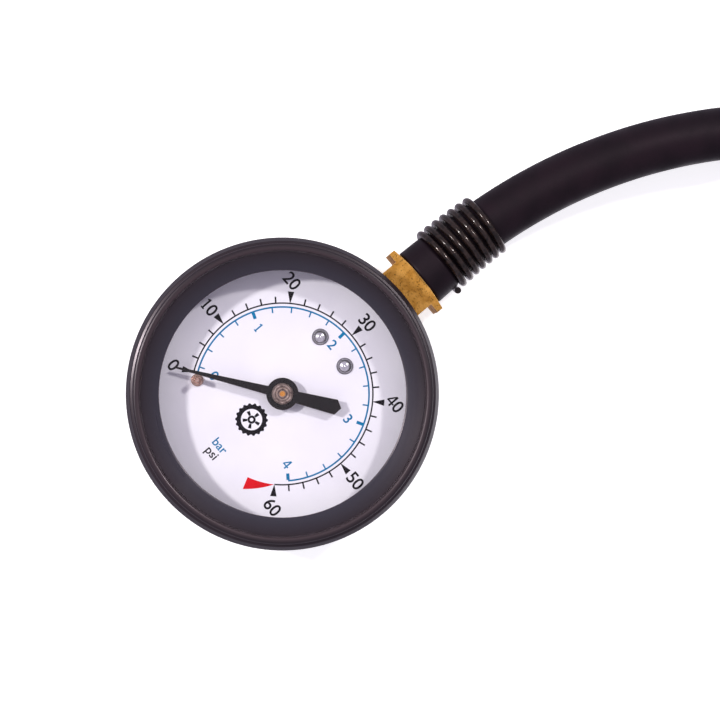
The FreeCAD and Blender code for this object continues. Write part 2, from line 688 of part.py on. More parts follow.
def coil(place):
    """A round wire wound along a centreline, from its cut end on the right side round the back.

    Each turn climbs behind the hose and runs almost level across its front, and the coils narrow
    as they climb."""
    steps_per_turn = 20
    steps = int(dims.guard_turns * steps_per_turn)
    points = []
    for step in range(steps + 1):
        turns = step / steps_per_turn
        angle = 2 * math.pi * turns
        climb = turns + dims.guard_lean * (1 - math.cos(angle)) / (2 * math.pi)
        centre, side = place(dims.guard_start + climb * dims.guard_pitch)
        radius = dims.guard_wide + (dims.guard_narrow - dims.guard_wide) * step / steps
        radius += dims.guard_flare * max(0.0, 1 - 2 * turns)
        around = side * math.cos(angle) + Vector(0, math.sin(angle), 0)
        points.append(centre + around * radius)
    spine = Part.BSplineCurve()
    spine.interpolate(points)
    path = Part.Wire(spine.toShape())
    start_tangent = spine.tangent(spine.FirstParameter)[0]
    wire_end = Part.Wire(Part.makeCircle(dims.wire_radius, points[0], start_tangent))
    return path.makePipeShell([wire_end], True, True)


def make_spring_guards():
    keep(shaped("spring_guard", coil(along_hose)), "spring_guard")
    keep(shaped("chuck_spring_guard", coil(up_the_leg)), "chuck_spring_guard")


# ---- chuck --------------------------------------------------------------------------------

CHUCK_X = "first_bend * (1 - cos(first_turn)) + second_bend * cos(first_turn) + second_bend"
MOUTH = "chuck_shoulder - chuck_length"
GRIP_FLUTES = 18


def make_chuck_body():
    """A brass barrel: fluted grip, hexagon, and barbs for the hose. It screws into the nose ring."""
    body = new_body("chuck_body")
    profile = face_sketch(body, "chuck_profile")
    low = MOUTH + " + nose_length + 0.05"
    grip_top = "chuck_shoulder - grip_end"
    hex_foot = "chuck_shoulder - hex_tall"
    chamber_radius = "3.4"
    counterbore = "spigot_radius + 0.05"
    outline(profile, [
        (counterbore, low), ("nose_radius - 0.2", low), ("nose_radius - 0.2", low + " + 0.5"),
        ("grip_radius - 0.4", low + " + 0.5"), ("grip_radius", low + " + 1.0"),
        ("grip_radius", grip_top + " - 0.5"), ("grip_radius - 0.5", grip_top), ("5.4", grip_top),
        ("5.4", hex_foot), ("6.2", hex_foot), ("6.2", "chuck_shoulder"),
        ("stem_bore", "chuck_shoulder"), ("stem_bore", low + " + 6.0"),
        (chamber_radius, low + " + 6.0"), (chamber_radius, low + " + 2.6"),
        (counterbore, low + " + 2.6")])
    revolve(body, profile)
    hexagon = sketch_on(body, "XY_Plane", "chuck_hexagon", hex_foot)
    reach = "hex_across / 2 / cos(30)"
    turns = [60 * corner for corner in range(6)]
    outline(hexagon, [("%s * cos(%d)" % (reach, t), "%s * sin(%d)" % (reach, t)) for t in turns])
    circle(hexagon, "0", "0", "6.0")
    pad(body, hexagon, "hex_tall")
    barbs = face_sketch(body, "chuck_barbs")
    outline(barbs, barb_corners("chuck_shoulder", "stem_bore"))
    revolve(body, barbs)
    flute = sketch_on(body, "XY_Plane", "chuck_flute", MOUTH + " + nose_length + 2.0")
    circle(flute, "flute_reach", "0", "flute_radius")
    first = pocket(body, flute, "11.5")
    flutes = body.newObject("PartDesign::PolarPattern", "chuck_flutes")
    flutes.Originals = [first]
    flutes.Axis = (flute, ["N_Axis"])
    flutes.Angle = 360
    flutes.Occurrences = GRIP_FLUTES
    body.Tip = flutes
    bind(body, Placement__Base__x=CHUCK_X, Placement__Base__y="-stem_depth")
    return keep(body, "chuck_body")


def make_chuck_nose():
    """The screwed nose ring, whose mouth goes over the tyre valve."""
    shoulder = MOUTH + " + nose_length"
    nose = turned("chuck_nose", [
        ("valve_radius", MOUTH), ("nose_radius - 0.6", MOUTH), ("nose_radius", MOUTH + " + 0.6"),
        ("nose_radius", shoulder), ("spigot_radius", shoulder), ("spigot_radius", shoulder + " + 2.5"),
        ("spigot_bore", shoulder + " + 2.5"), ("spigot_bore", MOUTH + " + valve_reach"),
        ("valve_radius", MOUTH + " + valve_reach")],
        upright=True, x=CHUCK_X, y="-stem_depth")
    return keep(nose, "chuck_nose")


# ---- movement -----------------------------------------------------------------------------

PLATE_OUTLINE = [("-6.5", "-6"), ("-1.5", "-17.5"), ("3", "-17.5"), ("10", "-14.5"), ("10", "-4")]
PILLARS = [("-4.6", "3.6"), ("5.0", "4.0"), ("1.0", "-15.4")]
SECTOR_X = "gear_module * (pinion_teeth + sector_teeth) / 2 * sin(sector_clock)"
SECTOR_Z = "gear_module * (pinion_teeth + sector_teeth) / 2 * cos(sector_clock)"
STUD_CLOCK = 215.0
AXIS = Vector(0, 0, 0)


def make_movement_plate(name, depth, top):
    """One of the two brass plates that carry the arbors; both share an outline below their top edge."""
    body = new_body(name)
    plan = face_sketch(body, name + "_plan", depth)
    outline(plan, PLATE_OUTLINE + [("6", top), ("-6", top)])
    is_front = name == "movement_front_plate"
    spindle = "spindle_radius + 0.05" if is_front else "pivot_radius + 0.05"
    circle(plan, "0", "0", spindle)
    circle(plan, SECTOR_X, SECTOR_Z, "pivot_radius + 0.05")
    for across, up in PILLARS:
        circle(plan, across, up, "pillar_tenon + 0.02")
    if not is_front:
        for side in ("foot_across", "-foot_across"):
            circle(plan, side, "block_bottom - foot_down", "1.05")
    pad(body, plan, "plate_thick")
    return keep(body, name)


def make_pillars():
    """Three shouldered posts riveted into the back plate, tapped for the front plate's screws."""
    top = "front_plate - 0.01"
    foot = "back_plate + plate_thick + 0.01"
    posts = []
    for across, up in PILLARS:
        posts.append(turned("pillar_%d" % len(posts), [
            ("0", "back_plate"), ("pillar_tenon", "back_plate"), ("pillar_tenon", foot),
            ("pillar_radius", foot), ("pillar_radius", top), ("0.52", top),
            ("0.52", top + " - 2.5"), ("0", top + " - 2.5")], x=across, z=up))
    return keep(group("movement_pillars", posts), "movement_pillars")


def cheese_screw(name, seat, reach, head, shank, x, z):
    """A small cheese-head screw whose head sits on a depth and whose shank goes back from it."""
    end = "%s - %s" % (seat, reach)
    blank = turned(name + "_blank", [
        ("0", end), (shank, end), (shank, seat), (head, seat), (head, seat + " + 0.7"),
        (head + " - 0.1", seat + " + 0.8"), ("0", seat + " + 0.8")], x=x, z=z)
    slot = box(name + "_slot", "%s - 2" % x, "%s + 2" % x, seat + " + 1", seat + " + 0.45",
               z + " - 0.15", z + " + 0.15")
    return cut(name, blank, slot)


def make_movement_screws():
    plate_screws = []
    front_seat = "front_plate + plate_thick + 0.01"
    for across, up in PILLARS:
        name = "plate_screw_%d" % len(plate_screws)
        plate_screws.append(cheese_screw(name, front_seat, "3.0", "1.1", "0.5", across, up))
    keep(group("plate_screws", plate_screws), "plate_screws")
    foot_screws = []
    back_seat = "back_plate + plate_thick + 0.01"
    height = "block_bottom - foot_down"
    for side in ("foot_across", "-foot_across"):
        name = "foot_screw_%d" % len(foot_screws)
        foot_screws.append(cheese_screw(name, back_seat, "3.6", "1.7", "1.0", side, height))
    keep(group("movement_screws", foot_screws), "movement_screws")


def tooth_half_angle(teeth, radius):
    """Half the angle that a thinned involute tooth fills at a radius, constant inside the base circle."""
    pressure = math.radians(20)
    pitch = dims.gear_module * teeth / 2
    base = pitch * math.cos(pressure)
    unwound = math.sqrt(max(0.0, (radius / base) ** 2 - 1))
    thinned = 0.21 * 2 * math.pi / teeth
    return thinned + math.tan(pressure) - pressure - (unwound - math.atan(unwound))


def tooth_points(teeth, centre, clock, addendum, dedendum):
    """One tooth from its root on the left over the tip to its root on the right."""
    pitch = dims.gear_module * teeth / 2
    flank_steps = 5
    root = pitch - dedendum * dims.gear_module
    tip = pitch + addendum * dims.gear_module
    radii = [root + (tip - root) * step / (flank_steps - 1) for step in range(flank_steps)]
    flanks = [(radius, math.degrees(tooth_half_angle(teeth, radius))) for radius in radii]
    left = [clock_point(centre, radius, clock - half, 0) for radius, half in flanks]
    right = [clock_point(centre, radius, clock + half, 0) for radius, half in flanks]
    return left + right[::-1]


def plate_of(points, depth, thick):
    """A flat plate from corner points, between a depth and a thickness in front of it."""
    face = Part.Face(Part.makePolygon(points + points[:1]))
    face.translate(Vector(0, -depth, 0))
    return face.extrude(Vector(0, -thick, 0))


def rod(centre, radius, depth, length):
    return Part.makeCylinder(radius, length, Vector(centre.x, -depth, centre.z), Vector(0, -1, 0))


def make_pinion():
    """The pinion and its spindle, cut from one rod, with the pointer on the spindle's front end."""
    teeth = int(dims.pinion_teeth)
    points = []
    for tooth in range(teeth):
        points += tooth_points(teeth, AXIS, dims.sector_clock + 360 / teeth * tooth, 1.0, 1.3)
    leaves = plate_of(points, dims.sector_depth - 1.0, dims.sector_thick + 2.0)
    rear = dims.back_plate + 0.1
    shoulder = dims.back_plate + dims.plate_thick + 0.1
    nose = dims.pointer_depth + dims.pointer_thick + 0.65
    pivot = rod(AXIS, dims.pivot_radius, rear, shoulder - rear)
    spindle = rod(AXIS, dims.spindle_radius, shoulder, nose - shoulder)
    return keep(shaped("pinion", leaves.fuse([pivot, spindle])), "pinion")


def sector_pivot():
    centres = dims.gear_module * (dims.pinion_teeth + dims.sector_teeth) / 2
    return clock_point(AXIS, centres, dims.sector_clock, 0)


def make_sector():
    """The toothed segment with its hub and the short arm that the link pulls."""
    pivot = sector_pivot()
    teeth = int(dims.sector_teeth)
    step = 360 / teeth
    mesh_clock = dims.sector_clock + 180
    first = mesh_clock - 1.5 * step
    count = round(dims.full_swing * dims.pinion_teeth / dims.sector_teeth / step) + 4
    rim = []
    for tooth in range(count):
        rim += tooth_points(teeth, pivot, first + tooth * step, 0.8, 1.3)
    last = first + (count - 1) * step
    outer = dims.gear_module * teeth / 2 - 0.4
    fan = [clock_point(pivot, 1.2, first - 70, 0), clock_point(pivot, outer, first - step, 0)] + rim
    fan += [clock_point(pivot, outer, last + step, 0), clock_point(pivot, 1.2, last + 70, 0)]
    depth = dims.sector_depth
    thick = dims.sector_thick
    plate = plate_of(fan, depth, thick)
    window = [clock_point(pivot, 4.0, first + 6, 0), clock_point(pivot, 9.6, first + 3, 0)]
    window += [clock_point(pivot, 9.8, (first + last) / 2, 0)]
    window += [clock_point(pivot, 9.6, last - 3, 0), clock_point(pivot, 4.0, last - 6, 0)]
    plate = plate.cut(plate_of(window, depth - 1, thick + 2))
    arm_end = clock_point(pivot, dims.arm_length, dims.arm_clock, 0)
    corners = [(pivot, 1.2, -80), (arm_end, 0.9, -90), (arm_end, 0.9, 90), (pivot, 1.2, 80)]
    arm = plate_of([clock_point(centre, reach, dims.arm_clock + turn, 0) for centre, reach, turn in corners],
                   depth, thick)
    solid = plate.fuse([arm, rod(pivot, 2.0, depth, thick), rod(arm_end, 0.95, depth, thick)])
    solid = solid.cut(rod(pivot, 0.8, depth - 1, thick + 2))
    solid = solid.cut(rod(arm_end, dims.pin_radius + 0.005, depth - 1, thick + 2))
    return keep(shaped("sector_gear", solid.removeSplitter()), "sector_gear")


def make_sector_arbor():
    rear_shoulder = "back_plate + plate_thick + 0.1"
    front_shoulder = "front_plate - 0.1"
    seat = "sector_depth - 0.01"
    end = "front_plate + plate_thick - 0.1"
    arbor = turned("sector_arbor", [
        ("0", "back_plate + 0.1"), ("pivot_radius", "back_plate + 0.1"), ("pivot_radius", rear_shoulder),
        ("1.3", rear_shoulder), ("1.3", seat), ("0.79", seat), ("0.79", front_shoulder),
        ("pivot_radius", front_shoulder), ("pivot_radius", end), ("0", end)],
        x=SECTOR_X, z=SECTOR_Z)
    return keep(arbor, "sector_arbor")


def link_geometry():
    """Pin centres at rest and the link's hole on the sector's arm.

    The tube's tip and the sector's arm both move on arcs. The tip pin is placed so that both
    arcs have the same chord. The link rides with the tip and stays parallel to itself, and its
    hole is centred on the small drift of the arm's pin, which its play takes up."""
    pivot = sector_pivot()
    swing = dims.full_swing * dims.pinion_teeth / dims.sector_teeth
    arm_rest = clock_point(pivot, dims.arm_length, dims.arm_clock, 0)
    arm_mid = clock_point(pivot, dims.arm_length, dims.arm_clock - swing / 2, 0)
    chord = 2 * dims.arm_length * math.sin(math.radians(swing / 2))
    reach = chord / (2 * math.sin(math.radians(dims.tube_swing / 2)))
    root = tube_root_point()
    arm_mid_clock = dims.arm_clock - swing / 2
    tip_rest = clock_point(root, reach, arm_mid_clock + dims.tube_swing / 2, 0)
    tip_mid = clock_point(root, reach, arm_mid_clock, 0)
    drift_mid = arm_mid - (tip_mid - tip_rest)
    return arm_rest, tip_rest, (arm_rest + drift_mid) * 0.5


def tube_root_point():
    """Where the tube leaves the socket's left side: the point its tip is taken to turn about."""
    height = math.sqrt(dims.tube_radius ** 2 - dims.shank_half ** 2)
    return Vector(-dims.shank_half, 0, height)


def make_link_and_pins():
    arm_pin, tip_pin, arm_hole = link_geometry()
    depth = dims.sector_depth + dims.sector_thick + 0.1
    thick = dims.link_thick
    half = 0.7
    along = tip_pin - arm_hole
    clock = math.degrees(math.atan2(along.x, along.z))
    corners = [(arm_hole, -90), (tip_pin, -90), (tip_pin, 90), (arm_hole, 90)]
    bar = plate_of([clock_point(pin, half, clock + turn, 0) for pin, turn in corners], depth, thick)
    link = bar.fuse([rod(arm_hole, 1.15, depth, thick), rod(tip_pin, 1.0, depth, thick)])
    link = link.cut(rod(arm_hole, dims.pin_radius + dims.link_slack, depth - 1, thick + 2))
    link = link.cut(rod(tip_pin, dims.pin_radius + 0.05, depth - 1, thick + 2))
    keep(shaped("link", link.removeSplitter()), "link")
    start = dims.sector_depth - 0.3
    length = depth + thick + 0.4 - start
    keep(shaped("sector_link_pin", rod(arm_pin, dims.pin_radius, start, length)), "sector_link_pin")
    keep(shaped("tip_link_pin", rod(tip_pin, dims.pin_radius, start, length)), "tip_link_pin")


def make_bourdon_tube():
    """A flattened tube bent to a C, open into the socket, its section turned about the dial's axis."""
    body = new_body("bourdon_tube")
    section = sketch_on(body, "XY_Plane", "tube_section")
    for inset in ("0", "tube_wall"):
        flat = "(tube_flat / 2 - %s)" % inset
        tall = "(tube_tall / 2 - %s)" % inset
        outline(section, rectangle("tube_radius - " + flat, "tube_radius + " + flat,
                                   "-stem_depth - " + tall, "-stem_depth + " + tall))
    bent = revolve(body, section, angle="tube_root - tube_end")
    doc.recompute()
    half = dims.tube_flat / 2
    rims = [(dims.tube_radius + side * half, dims.stem_depth + face * dims.tube_tall / 2)
            for side in (-1, 1) for face in (-1, 1)]
    dress(body, bent, ring_edges(bent.Shape, rims), Radius="2 * tube_wall")
    body.Placement.Rotation = Rotation(Vector(0, 1, 0), dims.tube_end - 90)
    return keep(body, "bourdon_tube")


def make_tube_tip():
    """The soldered end piece that closes the tube and carries the link's pin on a lug."""
    gap = 0.01
    tip_pin = link_geometry()[1]
    inner = dims.tube_radius - dims.tube_flat / 2 - 0.3
    tall = dims.tube_tall + 0.6
    depth = dims.stem_depth + tall / 2
    cap = Part.makeBox(dims.tube_flat + 0.6, tall, 1.6, Vector(inner, -depth, gap))
    lug_front = -dims.sector_depth - dims.sector_thick
    lug = Part.makeBox(4.0, dims.sector_thick, 3.6, Vector(inner - 3.8, lug_front, gap - 2.0))
    piece = cap.fuse(lug)
    piece.rotate(AXIS, Vector(0, 1, 0), dims.tube_end - 90)
    pin_hole = rod(tip_pin, dims.pin_radius + 0.005, dims.sector_depth - 1, dims.sector_thick + 2)
    piece = piece.cut(pin_hole)
    return keep(shaped("tube_tip", piece.removeSplitter()), "tube_tip")


def make_hairspring():
    """Collet on the spindle, flat spiral spring, and the stud that anchors its outer end."""
    depth = dims.front_plate - 1.6
    tall = 0.7
    inner = 1.16
    outer = 4.1
    thick = 0.12
    turns = 3.5
    steps = int(turns * 24)
    start_clock = STUD_CLOCK - 360 * turns
    curves = []
    for offset in (0.0, thick):
        points = []
        for step in range(steps + 1):
            share = step / steps
            reach = inner + offset + (outer - inner) * share
            points.append(clock_point(AXIS, reach, start_clock + 360 * turns * share, depth))
        curves.append(points)
    splines = []
    for points in curves:
        spline = Part.BSplineCurve()
        spline.interpolate(points)
        splines.append(spline.toShape())
    ends = [Part.makeLine(curves[0][k], curves[1][k]) for k in (0, -1)]
    strip = Part.Face(Part.Wire([splines[0], ends[1], splines[1], ends[0]]))
    keep(shaped("hairspring", strip.extrude(Vector(0, -tall, 0))), "hairspring")
    collet_ring = rectangle("spindle_radius + 0.01", "1.12", "front_plate - 1.9", "front_plate - 0.15")
    keep(turned("hairspring_collet", collet_ring), "hairspring_collet")
    stud_radius = 0.7
    stud_centre = clock_point(AXIS, outer + thick + stud_radius + 0.02, STUD_CLOCK, 0)
    stud = rod(stud_centre, stud_radius, depth - 0.2, dims.front_plate - depth + 0.19)
    keep(shaped("hairspring_stud", stud), "hairspring_stud")


def make_chuck_seal():
    """The rubber washer that the tyre valve seals on, in the nose ring behind the valve socket."""
    foot = MOUTH + " + valve_reach + 0.05"
    section = rectangle("1.6", "spigot_bore - 0.05", foot, foot + " + 2.05")
    seal = turned("chuck_seal", section, upright=True, x=CHUCK_X, y="-stem_depth")
    return keep(seal, "chuck_seal")


def make_valve_depressor():
    """The pin that opens the tyre valve's core, on a disc with four gas ways."""
    tip = MOUTH + " + valve_reach + 0.1"
    disc = MOUTH + " + valve_reach + 2.15"
    disc_radius = "spigot_bore - 0.1"
    depressor = turned("depressor_blank", [
        ("0", tip), ("0.9", tip), ("1.2", tip + " + 0.3"), ("1.2", disc),
        (disc_radius, disc), (disc_radius, disc + " + 1.25"), ("0", disc + " + 1.25")],
        upright=True, x=CHUCK_X, y="-stem_depth")
    gas_ways = []
    for index, (across, along) in enumerate([("2.3", "0"), ("-2.3", "0"), ("0", "2.3"), ("0", "-2.3")]):
        way = doc.addObject("Part::Cylinder", "gas_way_%d" % index)
        bind(way, Radius="0.55", Height="4", Placement__Base__x="%s + %s" % (CHUCK_X, across),
             Placement__Base__y="%s - stem_depth" % along, Placement__Base__z=MOUTH + " + 8.5")
        gas_ways.append(way)
    return keep(cut("valve_depressor_cut", depressor, group("gas_ways", gas_ways)), "valve_depressor")


def main():
    make_case()
    make_bezel()
    make_window()
    make_window_gasket()
    make_case_fastenings()
    make_blowout_plug()
    make_dial()
    make_dial_rivets()
    make_stop_pin()
    make_pointer()
    make_pointer_bushing()
    make_socket()
    make_restrictor()
    make_stem_grommet()
    make_hose()
    make_spring_guards()
    make_chuck_body()
    make_chuck_nose()
    make_chuck_seal()
    make_valve_depressor()
    make_movement_plate("movement_back_plate", "back_plate", "block_bottom - 0.1")
    make_movement_plate("movement_front_plate", "front_plate", "6")
    make_pillars()
    make_movement_screws()
    make_pinion()
    make_hairspring()
    make_sector()
    make_sector_arbor()
    make_link_and_pins()
    make_bourdon_tube()
    make_tube_tip()
    doc.recompute()
    for item in doc.Objects:
        if "Invalid" in item.State or "Error" in item.State:
            raise RuntimeError("%s did not compute: %s" % (item.Name, item.State))
    for node in nodes:
        if node.Shape.isNull() or not node.Shape.isValid():
            raise RuntimeError("%s has no valid shape" % node.Label)
    for node in nodes:
        node.Shape.exportStep("parts/%s.step" % node.Label)


main()
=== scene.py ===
import math

import bmesh
import bpy
from mathutils import Matrix, Vector, noise


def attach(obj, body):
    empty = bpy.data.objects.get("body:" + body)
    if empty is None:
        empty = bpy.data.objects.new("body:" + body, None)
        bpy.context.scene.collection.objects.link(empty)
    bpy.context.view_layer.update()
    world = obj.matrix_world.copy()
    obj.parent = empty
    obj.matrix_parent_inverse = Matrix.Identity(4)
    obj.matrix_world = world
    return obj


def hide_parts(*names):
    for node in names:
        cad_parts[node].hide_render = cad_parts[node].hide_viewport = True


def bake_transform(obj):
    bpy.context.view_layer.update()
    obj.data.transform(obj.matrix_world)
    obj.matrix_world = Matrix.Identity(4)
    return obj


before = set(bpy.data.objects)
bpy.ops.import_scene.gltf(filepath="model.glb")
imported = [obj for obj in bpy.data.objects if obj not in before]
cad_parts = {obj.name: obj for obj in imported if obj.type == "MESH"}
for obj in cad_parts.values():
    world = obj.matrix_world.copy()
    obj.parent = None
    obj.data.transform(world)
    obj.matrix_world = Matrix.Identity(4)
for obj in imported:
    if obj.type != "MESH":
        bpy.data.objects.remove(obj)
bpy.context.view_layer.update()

# Looks for the dial tyre pressure gauge. The frame is the CAD part's: +Z up the stem, the dial
# faces -Y, the origin at the centre of the case back. "Depth" is the distance in front of the
# case back, so y = -depth. Clock angles turn clockwise from the stem, seen from the front.
# Lengths are in millimetres and angles in degrees, unless a name or comment says otherwise.

MM = 0.001

# ink on the dial
INK_BACK = 19.01
INK_THICK = 0.02
SCALE_START = -126.0
SCALE_END = 135.0
ZERO_CLOCK = -135.0
ZERO_NUMERAL_CLOCK = -125.0

# black scale, in psi
PSI_STEP = 4.5
PSI_RADIUS = 20.0
PSI_LINE = (-0.15, 0.16)
PSI_FIRST_TICK = 4
PSI_TICK = 1.45
PSI_TICK_WIDE = 0.34
PSI_WEDGE = 2.6
PSI_WEDGE_POINT = 0.12
PSI_WEDGE_WIDE = 1.4
PSI_TALL = 2.75
PSI_WEIGHT = 0.05
PSI_REACH = {0: 24.7, 10: 25.0, 20: 25.0, 30: 24.5, 40: 25.0, 50: 25.0, 60: 25.0}

# blue scale, in bar
BAR_STEP = 65.27
BAR_RADIUS = 19.15
BAR_LINE = 0.18
BAR_TICK = 1.25
BAR_TICK_WIDE = 0.3
BAR_LONG_TICK = 1.6
BAR_LONG_TICK_WIDE = 0.7
BAR_TALL = 2.2
BAR_WEIGHT = 0.04
BAR_REACH = 15.5

# names of the units, below the pointer's axis
UNIT_TALL = 1.95
UNIT_WEIGHT = 0.03
PSI_DOWN = 20.5
BAR_DOWN = 17.8

# red wedge past the end of the scale
ZONE_GAP = 0.4
ZONE_SWEEP = 17.2
ZONE_RISE = 2.6
ZONE_DROP = 0.2
ZONE_POINT = 0.03
ZONE_STEPS = 12

# wheel pictogram; a ring has two radii, and a spoke's ends have a radius and a width
WHEEL_DOWN = 8.8
WHEEL_TYRE = (2.35, 3.6)
WHEEL_HUB = (0.4, 0.9)
WHEEL_LUGS = 18
WHEEL_NOTCH = 0.32
WHEEL_SPOKES = 5
WHEEL_SPOKE = ((0.95, 0.45), (1.95, 0.75))

# The built-in face's digits are FACE_DIGIT tall and FACE_ADVANCE apart at size 1. The digits 1 and 4
# have outlines of their own, one unit tall.
FACE_DIGIT = 0.70
FACE_ADVANCE = 0.49
OWN_DIGITS = {
    "1": [
        [(-0.13, 0.0), (0.19, 0.0), (0.19, 0.12), (0.105, 0.12), (0.105, 1.0), (-0.005, 1.0),
         (-0.19, 0.88), (-0.13, 0.78), (-0.045, 0.83), (-0.045, 0.12), (-0.13, 0.12)],
    ],
    "4": [
        [(0.41, 0.0), (0.56, 0.0), (0.56, 0.24), (0.70, 0.24), (0.70, 0.37), (0.56, 0.37),
         (0.56, 1.0), (0.40, 1.0), (0.0, 0.36), (0.0, 0.24), (0.41, 0.24)],
        [(0.16, 0.37), (0.41, 0.37), (0.41, 0.79)],
    ],
}

# hose: a straight end, a wide bend, a tighter one over the top and a straight leg down to the chuck
HOSE_DEPTH = 10.0
HOSE_START = 40.35
HOSE_STRAIGHT = 49.5
FIRST_BEND = 120.0
FIRST_TURN = math.radians(31.5)
SECOND_BEND = 60.0
CHUCK_SHOULDER = 0.05
HOSE_SLEEVE = 10.0
HOSE_FINE_STEP = 0.35
HOSE_COARSE_STEP = 1.1
HOSE_AROUND = 64
HOSE_RELIEF = 0.05
HOSE_LUMP_LONG = 9.0
HOSE_LUMPS_AROUND = 1.6
# distance from the nearer end, outer radius, inner radius
HOSE_PROFILE = [(0.0, 6.75, 3.9), (0.35, 7.0, 3.9), (5.6, 6.85, 3.9), (6.3, 6.45, 3.9), (8.3, 6.1, 3.9),
                (9.2, 6.0, 3.0)]
# (x, z) of two points along the hose; build_hose works them out in metres but does not use them
BEND_FROM = (-5.37, 78.33)
BEND_TO = (19.37, 97.67)

# floor, ambient light and lamps; a lamp has a name, a direction, watts, a width in metres and a colour
FLOOR_METRES = 6.0
FLOOR_BEHIND = 0.3
FLOOR_GLOW = 0.66
AMBIENT_COLOUR = (1.0, 0.94, 1.14, 1.0)
AMBIENT_STRENGTH = 0.49
LAMP_REACH_METRES = 1.2
KEY_COLOUR = (1.0, 0.98, 0.97)
LAMPS = [
    ("key_stem", (0.0, -0.755, 0.656), 5.1, 0.12, KEY_COLOUR),
    ("key_left", (-0.559, -0.755, -0.344), 7.8, 0.12, KEY_COLOUR),
    ("fill_back", (0.35, 0.85, 0.4), 4.0, 1.4, (1.0, 1.0, 1.0)),
]

# camera
CAMERA_PLACE = (-6.218, -535.488, -8.844)
CAMERA_TARGET = (5.323, -19.0, 17.940)
CAMERA_ROLL = math.radians(49.926)
CAMERA_LENS = 117.23
CAMERA_SENSOR = 36.0


def tint(red, green, blue):
    """A colour given as 0 to 255 values, in the linear numbers that nodes use."""
    linear = []
    for value in (red, green, blue):
        share = value / 255
        linear.append(share / 12.92 if share <= 0.04045 else ((share + 0.055) / 1.055) ** 2.4)
    return (*linear, 1.0)


# ---- materials ------------------------------------------------------------------------------

class Paint:
    """The node tree of one material, emptied and ready for new nodes."""

    def __init__(self, material):
        material.use_nodes = True
        self.tree = material.node_tree
        self.tree.nodes.clear()
        self.output = self.add("ShaderNodeOutputMaterial")

    def add(self, kind, **settings):
        node = self.tree.nodes.new(kind)
        for word, value in settings.items():
            setattr(node, word, value)
        return node

    def feed(self, socket, value):
        """Gives a node's input a number or colour, or links another node's output to it."""
        if isinstance(value, bpy.types.NodeSocket):
            self.tree.links.new(value, socket)
        else:
            socket.default_value = value

    def sum(self, operation, a, b=0.0):
        """One step of arithmetic."""
        node = self.add("ShaderNodeMath", operation=operation)
        self.feed(node.inputs[0], a)
        self.feed(node.inputs[1], b)
        return node.outputs[0]

    def place(self, stretch=(1.0, 1.0, 1.0)):
        """Object coordinates in metres, stretched along each axis."""
        where = self.add("ShaderNodeTexCoord").outputs["Object"]
        node = self.add("ShaderNodeMapping")
        self.feed(node.inputs["Vector"], where)
        self.feed(node.inputs["Scale"], stretch)
        return node.outputs["Vector"]

    def split(self):
        """x, y and z of the object coordinates, in metres."""
        parts = self.add("ShaderNodeSeparateXYZ")
        self.feed(parts.inputs[0], self.place())
        return parts.outputs[0], parts.outputs[1], parts.outputs[2]

    def from_axis(self):
        """Distance from the dial's axis, in metres."""
        x, _, z = self.split()
        squares = self.sum("ADD", self.sum("MULTIPLY", x, x), self.sum("MULTIPLY", z, z))
        return self.sum("SQRT", squares)

    def around_dial(self):
        """Coordinates that run slowly round the dial's axis, so that marks become arcs."""
        metres_per_radian = 0.0018
        x, y, z = self.split()
        joined = self.add("ShaderNodeCombineXYZ")
        self.feed(joined.inputs[0], self.from_axis())
        self.feed(joined.inputs[1], y)
        self.feed(joined.inputs[2], self.sum("MULTIPLY", self.sum("ARCTAN2", x, z), metres_per_radian))
        return joined.outputs[0]

    def cloud(self, where, size, detail=3.0):
        """Noise with features about `size` millimetres across, from 0 to 1."""
        node = self.add("ShaderNodeTexNoise")
        self.feed(node.inputs["Vector"], where)
        self.feed(node.inputs["Scale"], 1.0 / (size * MM))
        self.feed(node.inputs["Detail"], detail)
        return node.outputs["Fac"]

    def turned_rings(self, pitch):
        """Rings about the dial's axis, `pitch` millimetres apart, as a lathe leaves them."""
        scale_for_one_ring = math.pi / 10
        node = self.add("ShaderNodeTexWave", wave_type="RINGS", rings_direction="Y")
        self.feed(node.inputs["Vector"], self.place())
        self.feed(node.inputs["Scale"], scale_for_one_ring / (pitch * MM))
        self.feed(node.inputs["Distortion"], 0.4)
        return node.outputs["Fac"]

    def spread(self, value, low, high, first=0.0, last=1.0):
        """Maps low..high of a value to first..last."""
        node = self.add("ShaderNodeMapRange")
        self.feed(node.inputs["Value"], value)
        self.feed(node.inputs["From Min"], low)
        self.feed(node.inputs["From Max"], high)
        self.feed(node.inputs["To Min"], first)
        self.feed(node.inputs["To Max"], last)
        return node.outputs["Result"]

    def mix(self, share, first, second):
        """A colour between two, where share 1 is all of the second."""
        node = self.add("ShaderNodeMix", data_type="RGBA")
        self.feed(node.inputs[0], share)
        self.feed(node.inputs[6], first)
        self.feed(node.inputs[7], second)
        return node.outputs[2]

    def relief(self, height, depth):
        """A bump, with its depth in millimetres."""
        node = self.add("ShaderNodeBump")
        self.feed(node.inputs["Height"], height)
        self.feed(node.inputs["Distance"], depth * MM)
        return node.outputs["Normal"]

    def turned_away(self, first, second, straight, away):
        """0 where two directions agree and 1 where they part, between two values of their cosine."""
        angle = self.add("ShaderNodeVectorMath", operation="DOT_PRODUCT")
        self.feed(angle.inputs[0], first)
        self.feed(angle.inputs[1], second)
        return self.spread(angle.outputs["Value"], straight, away)

    def lean(self):
        """0 where the surface faces the front, 1 where it leans well away."""
        front = (0.0, -1.0, 0.0)
        return self.turned_away(self.add("ShaderNodeNewGeometry").outputs["Normal"], front, 0.82, 0.5)

    def edges(self, reach):
        """1 on sharp edges, fading to 0 within `reach` millimetres."""
        rounded = self.add("ShaderNodeBevel", samples=4)
        self.feed(rounded.inputs["Radius"], reach * MM)
        plain = self.add("ShaderNodeNewGeometry").outputs["Normal"]
        return self.turned_away(rounded.outputs[0], plain, 0.99, 0.85)


